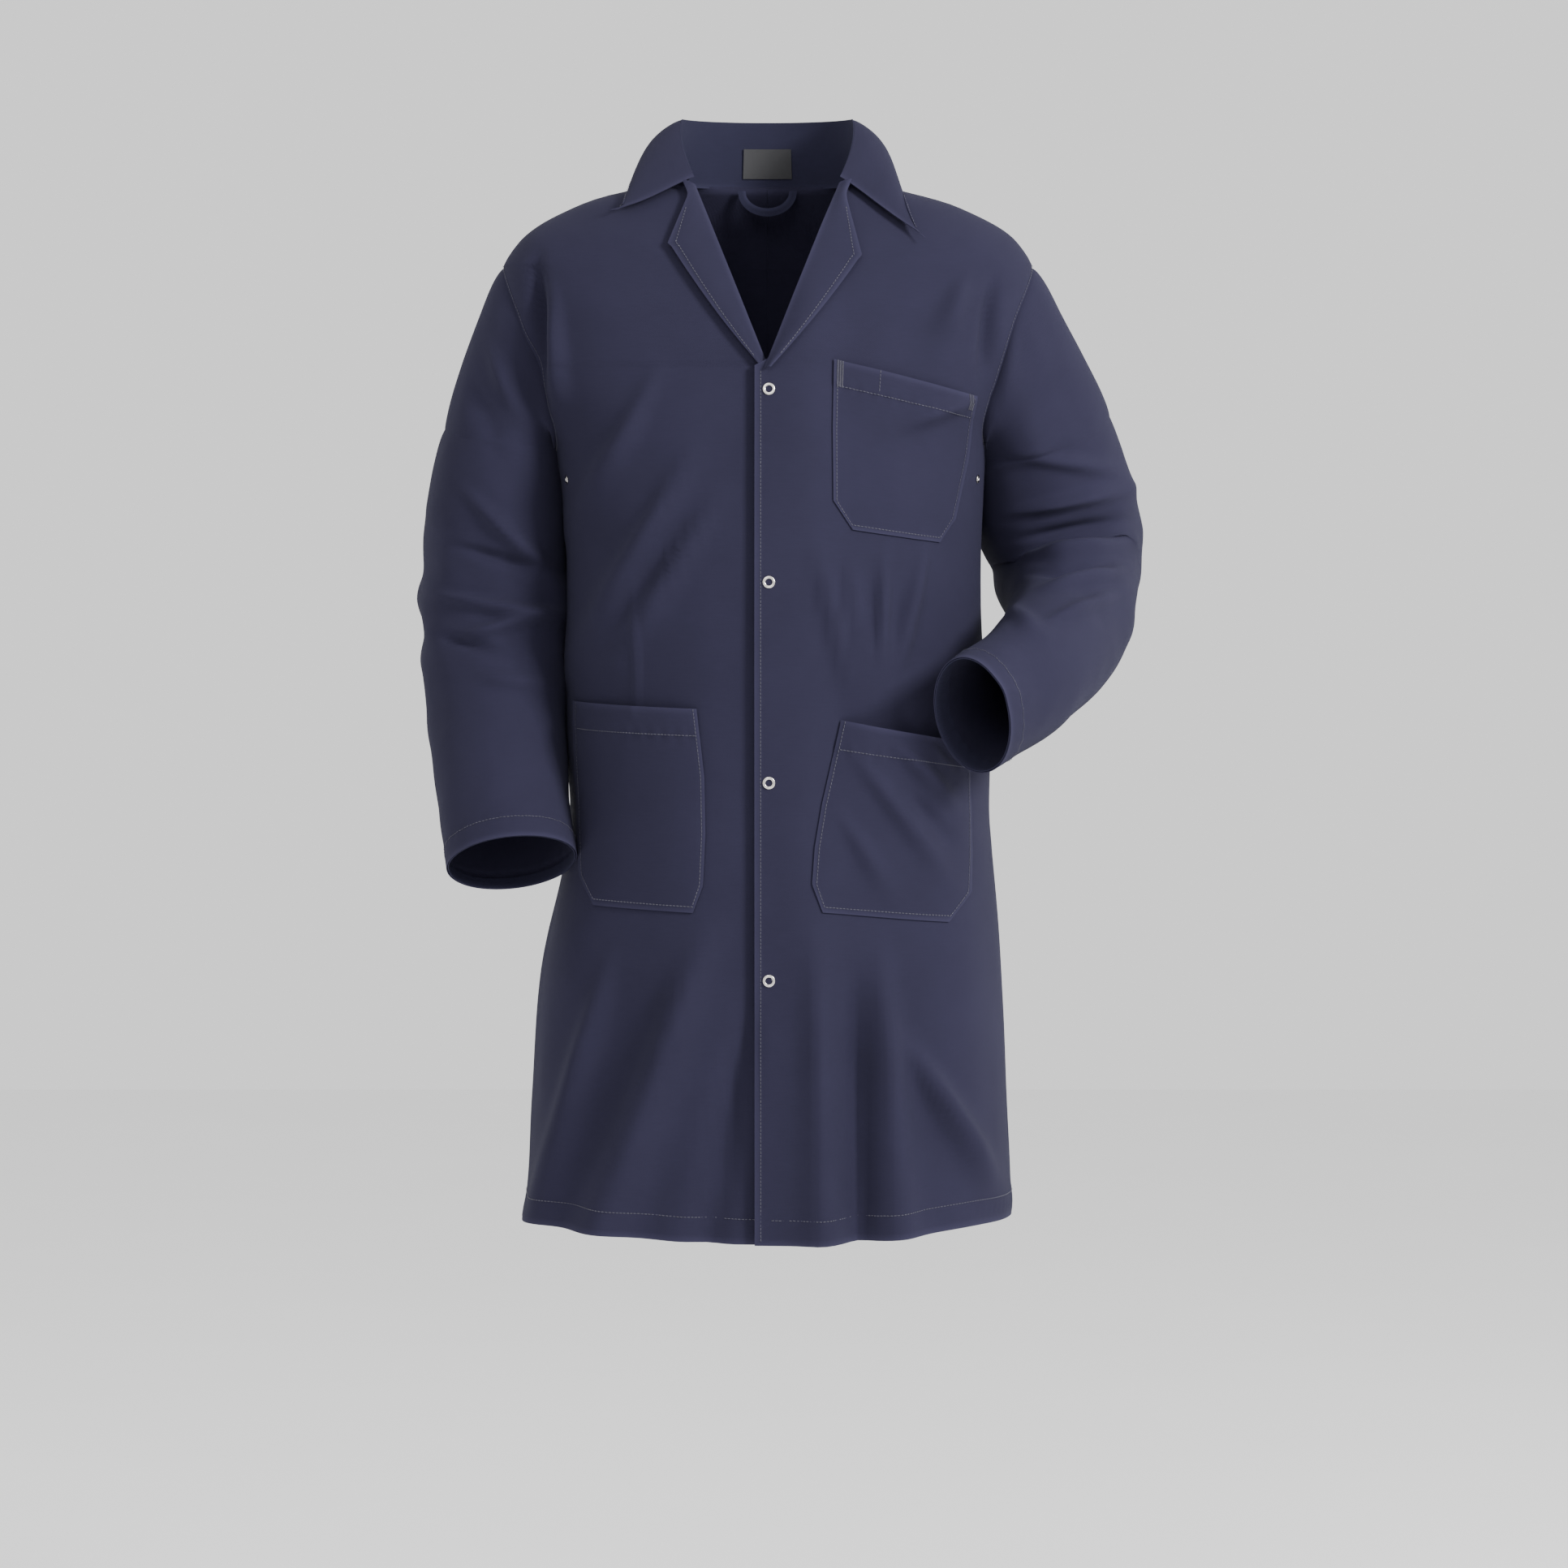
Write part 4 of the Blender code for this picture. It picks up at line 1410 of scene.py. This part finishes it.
def turned_ring(name, outer, inner, height):
    """A flat ring with rounded lips, modelled at the origin about +Z."""
    deselect_all()
    bpy.ops.mesh.primitive_torus_add(
        major_radius=(outer + inner) / 2, minor_radius=(outer - inner) / 2,
        major_segments=48, minor_segments=14,
    )
    made = bpy.context.active_object
    made.name = name
    bpy.ops.object.mode_set(mode="EDIT")
    bpy.ops.mesh.select_all(action="SELECT")
    flat = height / (outer - inner)
    bpy.ops.transform.resize(value=(1.0, 1.0, flat))
    bpy.ops.object.mode_set(mode="OBJECT")
    bpy.ops.object.shade_smooth()
    return made


def stud_post(name, radius, height):
    """A rounded stud with a dimple, modelled at the origin about +Z."""
    deselect_all()
    bpy.ops.mesh.primitive_cylinder_add(vertices=32, radius=radius, depth=height)
    made = bpy.context.active_object
    made.name = name
    bpy.ops.object.mode_set(mode="EDIT")
    bpy.ops.mesh.select_mode(type="FACE")
    bpy.ops.mesh.select_all(action="DESELECT")
    bpy.ops.object.mode_set(mode="OBJECT")
    for face in made.data.polygons:
        face.select = face.normal.z > 0.9
    bpy.ops.object.mode_set(mode="EDIT")
    bpy.ops.mesh.inset(thickness=radius * 0.35)
    bpy.ops.transform.translate(value=(0, 0, -height * 0.3))
    bpy.ops.object.mode_set(mode="OBJECT")
    bevel = made.modifiers.new("lip", "BEVEL")
    bevel.width = radius * 0.14
    bevel.segments = 3
    bpy.ops.object.modifier_apply(modifier=bevel.name)
    bpy.ops.object.shade_smooth_by_angle(angle=math.radians(40))
    return made


def placed_copy(pattern, name, centre, normal):
    """A copy with its own mesh, turned so its +Z is the normal, its place in its mesh."""
    made = pattern.copy()
    made.data = pattern.data.copy()
    made.name = name
    made.data.materials.clear()
    made.data.materials.append(finish_named("snap_plating"))
    turn = normal.to_track_quat("Z", "Y").to_matrix().to_4x4()
    made.data.transform(Matrix.Translation(centre) @ turn)
    bpy.context.scene.collection.objects.link(made)
    return made


class LABCOAT_OT_snaps(bpy.types.Operator):
    """Sets the ring snaps: cap and socket on the left front, stud and back ring on the right"""

    bl_idname = "labcoat.snaps"
    bl_label = "Snaps"

    def execute(self, context):
        patterns = {
            "ring": turned_ring("ring_pattern", sizes().snap_radius, sizes().snap_hole, 0.0018),
            "socket": turned_ring("socket_pattern", SOCKET_RADIUS, SOCKET_HOLE, 0.0012),
            "stud": stud_post("stud_pattern", STUD_RADIUS, 0.0022),
            "back": turned_ring("back_pattern", SOCKET_RADIUS, SOCKET_HOLE, 0.0011),
        }
        lifts = {
            "ring": OVERLAP_LIFT + 0.0006,
            "socket": OVERLAP_LIFT - 0.0036,
            "stud": 0.0013,
            "back": -0.0036,
        }
        for count, height in enumerate(SNAP_HEIGHTS, start=1):
            normal = outward(1, -0.99, height)
            normal.x = 0.0
            normal.normalize()
            for kind, pattern in patterns.items():
                name = f"snap_{count}_{kind}"
                centre = front_at(SNAP_ACROSS, height, lifts[kind])
                piece = placed_copy(pattern, name + "_plated", centre, normal)
                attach(piece, "left_opening" if kind in ("ring", "socket") else "right_opening")
                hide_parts(name)
        for pattern in patterns.values():
            bpy.data.objects.remove(pattern, do_unlink=True)
        return {"FINISHED"}


class LABCOAT_OT_eyelets(bpy.types.Operator):
    """Sets a ventilation eyelet under each arm"""

    bl_idname = "labcoat.eyelets"
    bl_label = "Eyelets"

    def execute(self, context):
        pattern = turned_ring("eyelet_pattern", EYELET_RADIUS, EYELET_HOLE, 0.0016)
        turn, height = EYELET_PLACE
        for word, side in SIDES:
            centre, normal = body_surface(side, turn, height, EYELET_LIFT)
            piece = placed_copy(pattern, word + "_eyelet_plated", centre, normal)
            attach(piece, "coat_body")
            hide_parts(word + "_underarm_eyelet")
        bpy.data.objects.remove(pattern, do_unlink=True)
        return {"FINISHED"}


class LABCOAT_OT_trim(bpy.types.Operator):
    """Sews in the hanger loop and the blank neck label"""

    bl_idname = "labcoat.trim"
    bl_label = "Loop and label"

    def execute(self, context):
        rows = []
        for s in steps(-1.0, 1.0, 61):
            sag = max(1 - s * s, 0.0)
            drop = LOOP_DROP * sag**0.5
            depth = 0.0600 - 0.007 * sag
            outer = at(LOOP_HALF * s, depth, LOOP_TOP - drop)
            inner = at(LOOP_HALF * 0.74 * s, depth, LOOP_TOP - drop * 0.68)
            row = []
            for t in steps(0.0, 1.0, 7):
                crown = Vector((0, -0.0006 * math.sin(math.pi * t), 0))
                row.append(outer.lerp(inner, t) + crown)
            rows.append(row)
        loop = Cloth("hanger_loop_tape", rows, worn=("start", "end"))
        piece = sew(loop, "twill_wrong_side", at(0, 0.5, 1.03),
                    thickness=THICK_CLOTH)
        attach(piece, "loop")
        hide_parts("hanger_loop")

        rows = []
        for height in steps(1.056, 1.086, 16):
            spread = stand_spread((height - STAND_LOW) / LABEL_SLOPE) - LABEL_DEPTH
            turns = steps(-LABEL_HALF_TURN, LABEL_HALF_TURN, 30)
            rows.append([neck_ring(turn, spread, height) for turn in turns])
        # the label's colour holds painted shade for the inside of the neck as well as the
        # ribbon's own dark colour
        label = Cloth("neck_label_ribbon", rows)
        piece = sew(label, "label_ribbon_painted_shade", at(0, 0, 1.07),
                    LABEL_CLOTH)
        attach(piece, "coat_body")
        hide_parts("neck_label")
        return {"FINISHED"}


def hem_path(side, low_turn, high_turn, height, count=150):
    """Surface points and normals along the hem, between two turns round the body."""
    points, normals = [], []
    for turn in steps(low_turn, high_turn, count):
        level = hung_height(turn, height)
        point = body_at(side, turn, level)
        normal = outward(side, turn, level)
        lap = lap_lift(side, point.x) if turn < 0 else 0.0
        points.append(point + normal * (lap + body_rise(point, level, point.x)))
        normals.append(normal)
    return points, normals


def armhole_path(side, front, count=70):
    """Along the armhole on the body, just outside the seam; front is -1 or +1 for back."""
    points, normals = [], []
    for k in range(count):
        swing = math.pi * k / (count - 1)
        level = ARMHOLE_MIDDLE + (ARMHOLE_HALF + 0.002) * math.cos(swing)
        turn = front * (ARMHOLE_REACH * math.sin(swing) + 0.014)
        point, normal = body_surface(side, turn, level)
        points.append(point)
        normals.append(normal)
    return points, normals


class LABCOAT_OT_stitching(bpy.types.Operator):
    """Runs the topstitching along edges, hems, pockets, armholes and cuffs"""

    bl_idname = "labcoat.stitching"
    bl_label = "Stitching"

    def lapel(self, rows, side):
        """The row beside a lapel's free edge."""
        points = [row[-4] for row in lapel_rows(side)[3:40]]
        normals = []
        for point in points:
            height = point.z + NECK_HEIGHT
            normals.append(outward(side, turn_at(point.x, height), min(height, 1.03)))
        rows.along(points, normals)

    def pocket(self, rows, name, shape):
        """A pocket's seam and hem, and the chest pocket's pen slot."""
        seam = [(0.028, 1.0), (0.028, 0.03), (0.972, 0.03), (0.972, 1.0)]
        rows.along(*shape.path(seam, 90))
        hem = 1 - POCKET_HEM / shape.length
        rows.along(*shape.path([(0.03, hem), (0.97, hem)], 90))
        if name == "chest_pocket":
            rows.along(*shape.path([(PEN_SLOT, 1.0), (PEN_SLOT, hem)], 30))

    def fronts(self):
        """All rows on a front, gathered by side."""
        for word, side in SIDES:
            rows = Stitching()
            edge = free_edge(side) + EDGE_STITCH
            rows.along(*front_path([(edge, 0.004), (edge, LAPEL_BREAK - BREAK_GAP)], side))
            rows.along(*hem_path(side, turn_at(side * 0.004, 0.02), 0.0, HEM_DEPTH))
            rows.along(*armhole_path(side, -1))
            self.lapel(rows, side)
            for name, shape in POCKETS.items():
                if shape.side == side:
                    self.pocket(rows, name, shape)
            opens(rows.build(word + "_front_stitching"), side)

    def bar_tacks(self):
        """Dense stitching that stops the chest pocket's corners from tearing."""
        shape = POCKETS["chest_pocket"]
        rows = Stitching()
        for low, high, depth, count in BAR_TACKS:
            for k in range(count):
                v = 1 - depth / shape.length * (k + 0.5) / count
                rows.along(*shape.path([(low, v), (high, v)], 8), pitch=0.0024)
        opens(rows.build("chest_pocket_bar_tacks"), 1)

    def back(self):
        """The back's hem and armholes, and the row beside the centre-back seam."""
        rows = Stitching()
        for side in (1, -1):
            rows.along(*hem_path(side, 0.0, 0.998, HEM_DEPTH))
            rows.along(*armhole_path(side, 1))
        points, normals = [], []
        turn = 0.978
        for height in steps(0.005, 1.035, 220):
            point, normal = body_surface(1, turn, height)
            points.append(point)
            normals.append(normal)
        rows.along(points, normals)
        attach(rows.build("back_stitching"), "coat_body")

    def collar(self):
        """The row beside the collar leaf's free edge."""
        rows = Stitching()
        grid = leaf_rows()
        inner, edge, outer = grid[-6], grid[-3], grid[-1]
        points, normals = [], []
        for k in range(3, len(edge) - 3):
            normal = (edge[k + 1] - edge[k - 1]).cross(outer[k] - inner[k]).normalized()
            if normal.dot(edge[k] - at(0, 0, 1.0)) < 0:
                normal = -normal
            points.append(edge[k] + normal * 0.0002)
            normals.append(normal)
        rows.along(points, normals)
        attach(rows.build("collar_stitching"), "collar")

    def cuffs(self):
        """One ring of stitches round each cuff."""
        for word, arm in ARMS.items():
            grid, _ = sleeve_grid(arm["side"], arm["table"], arm["folds"])
            end = centre_of(grid[-1])
            away = [abs((centre_of(row) - end).length - CUFF_DEPTH) for row in grid]
            row = grid[away.index(min(away))]
            centre = centre_of(row)
            ring = row + row[:1]
            rows = Stitching()
            rows.along(ring, [(p - centre).normalized() for p in ring])
            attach(rows.build(word + "_cuff_stitching"), word + "_forearm")

    def execute(self, context):
        self.fronts()
        self.bar_tacks()
        self.back()
        self.collar()
        self.cuffs()
        return {"FINISHED"}


class LABCOAT_PT_panel(bpy.types.Panel):
    """Lists the coat's settings and the steps that make it"""

    bl_idname = "LABCOAT_PT_panel"
    bl_label = "Lab Coat"
    bl_space_type = "VIEW_3D"
    bl_region_type = "UI"
    bl_category = "Lab Coat"

    def draw(self, context):
        layout = self.layout
        for group in (context.scene.lab_coat_colours, context.scene.lab_coat_sizes):
            box = layout.box()
            for name in group.bl_rna.properties.keys():
                if name not in ("rna_type", "name"):
                    box.prop(group, name)
        for operator in OPERATORS:
            layout.operator(operator.bl_idname)


OPERATORS = (
    LABCOAT_OT_stage,
    LABCOAT_OT_fronts,
    LABCOAT_OT_backs,
    LABCOAT_OT_facings,
    LABCOAT_OT_lapels,
    LABCOAT_OT_pockets,
    LABCOAT_OT_sleeves,
    LABCOAT_OT_collar,
    LABCOAT_OT_snaps,
    LABCOAT_OT_eyelets,
    LABCOAT_OT_trim,
    LABCOAT_OT_stitching,
)
CLASSES = (LabCoatColours, LabCoatSizes, *OPERATORS, LABCOAT_PT_panel)


def register():
    for cls in CLASSES:
        bpy.utils.register_class(cls)
    bpy.types.Scene.lab_coat_colours = bpy.props.PointerProperty(type=LabCoatColours)
    bpy.types.Scene.lab_coat_sizes = bpy.props.PointerProperty(type=LabCoatSizes)


def unregister():
    del bpy.types.Scene.lab_coat_sizes
    del bpy.types.Scene.lab_coat_colours
    for cls in reversed(CLASSES):
        bpy.utils.unregister_class(cls)


def main():
    register()
    for operator in OPERATORS:
        getattr(bpy.ops.labcoat, operator.bl_idname.split(".")[1])()


if __name__ == "__main__":
    main()
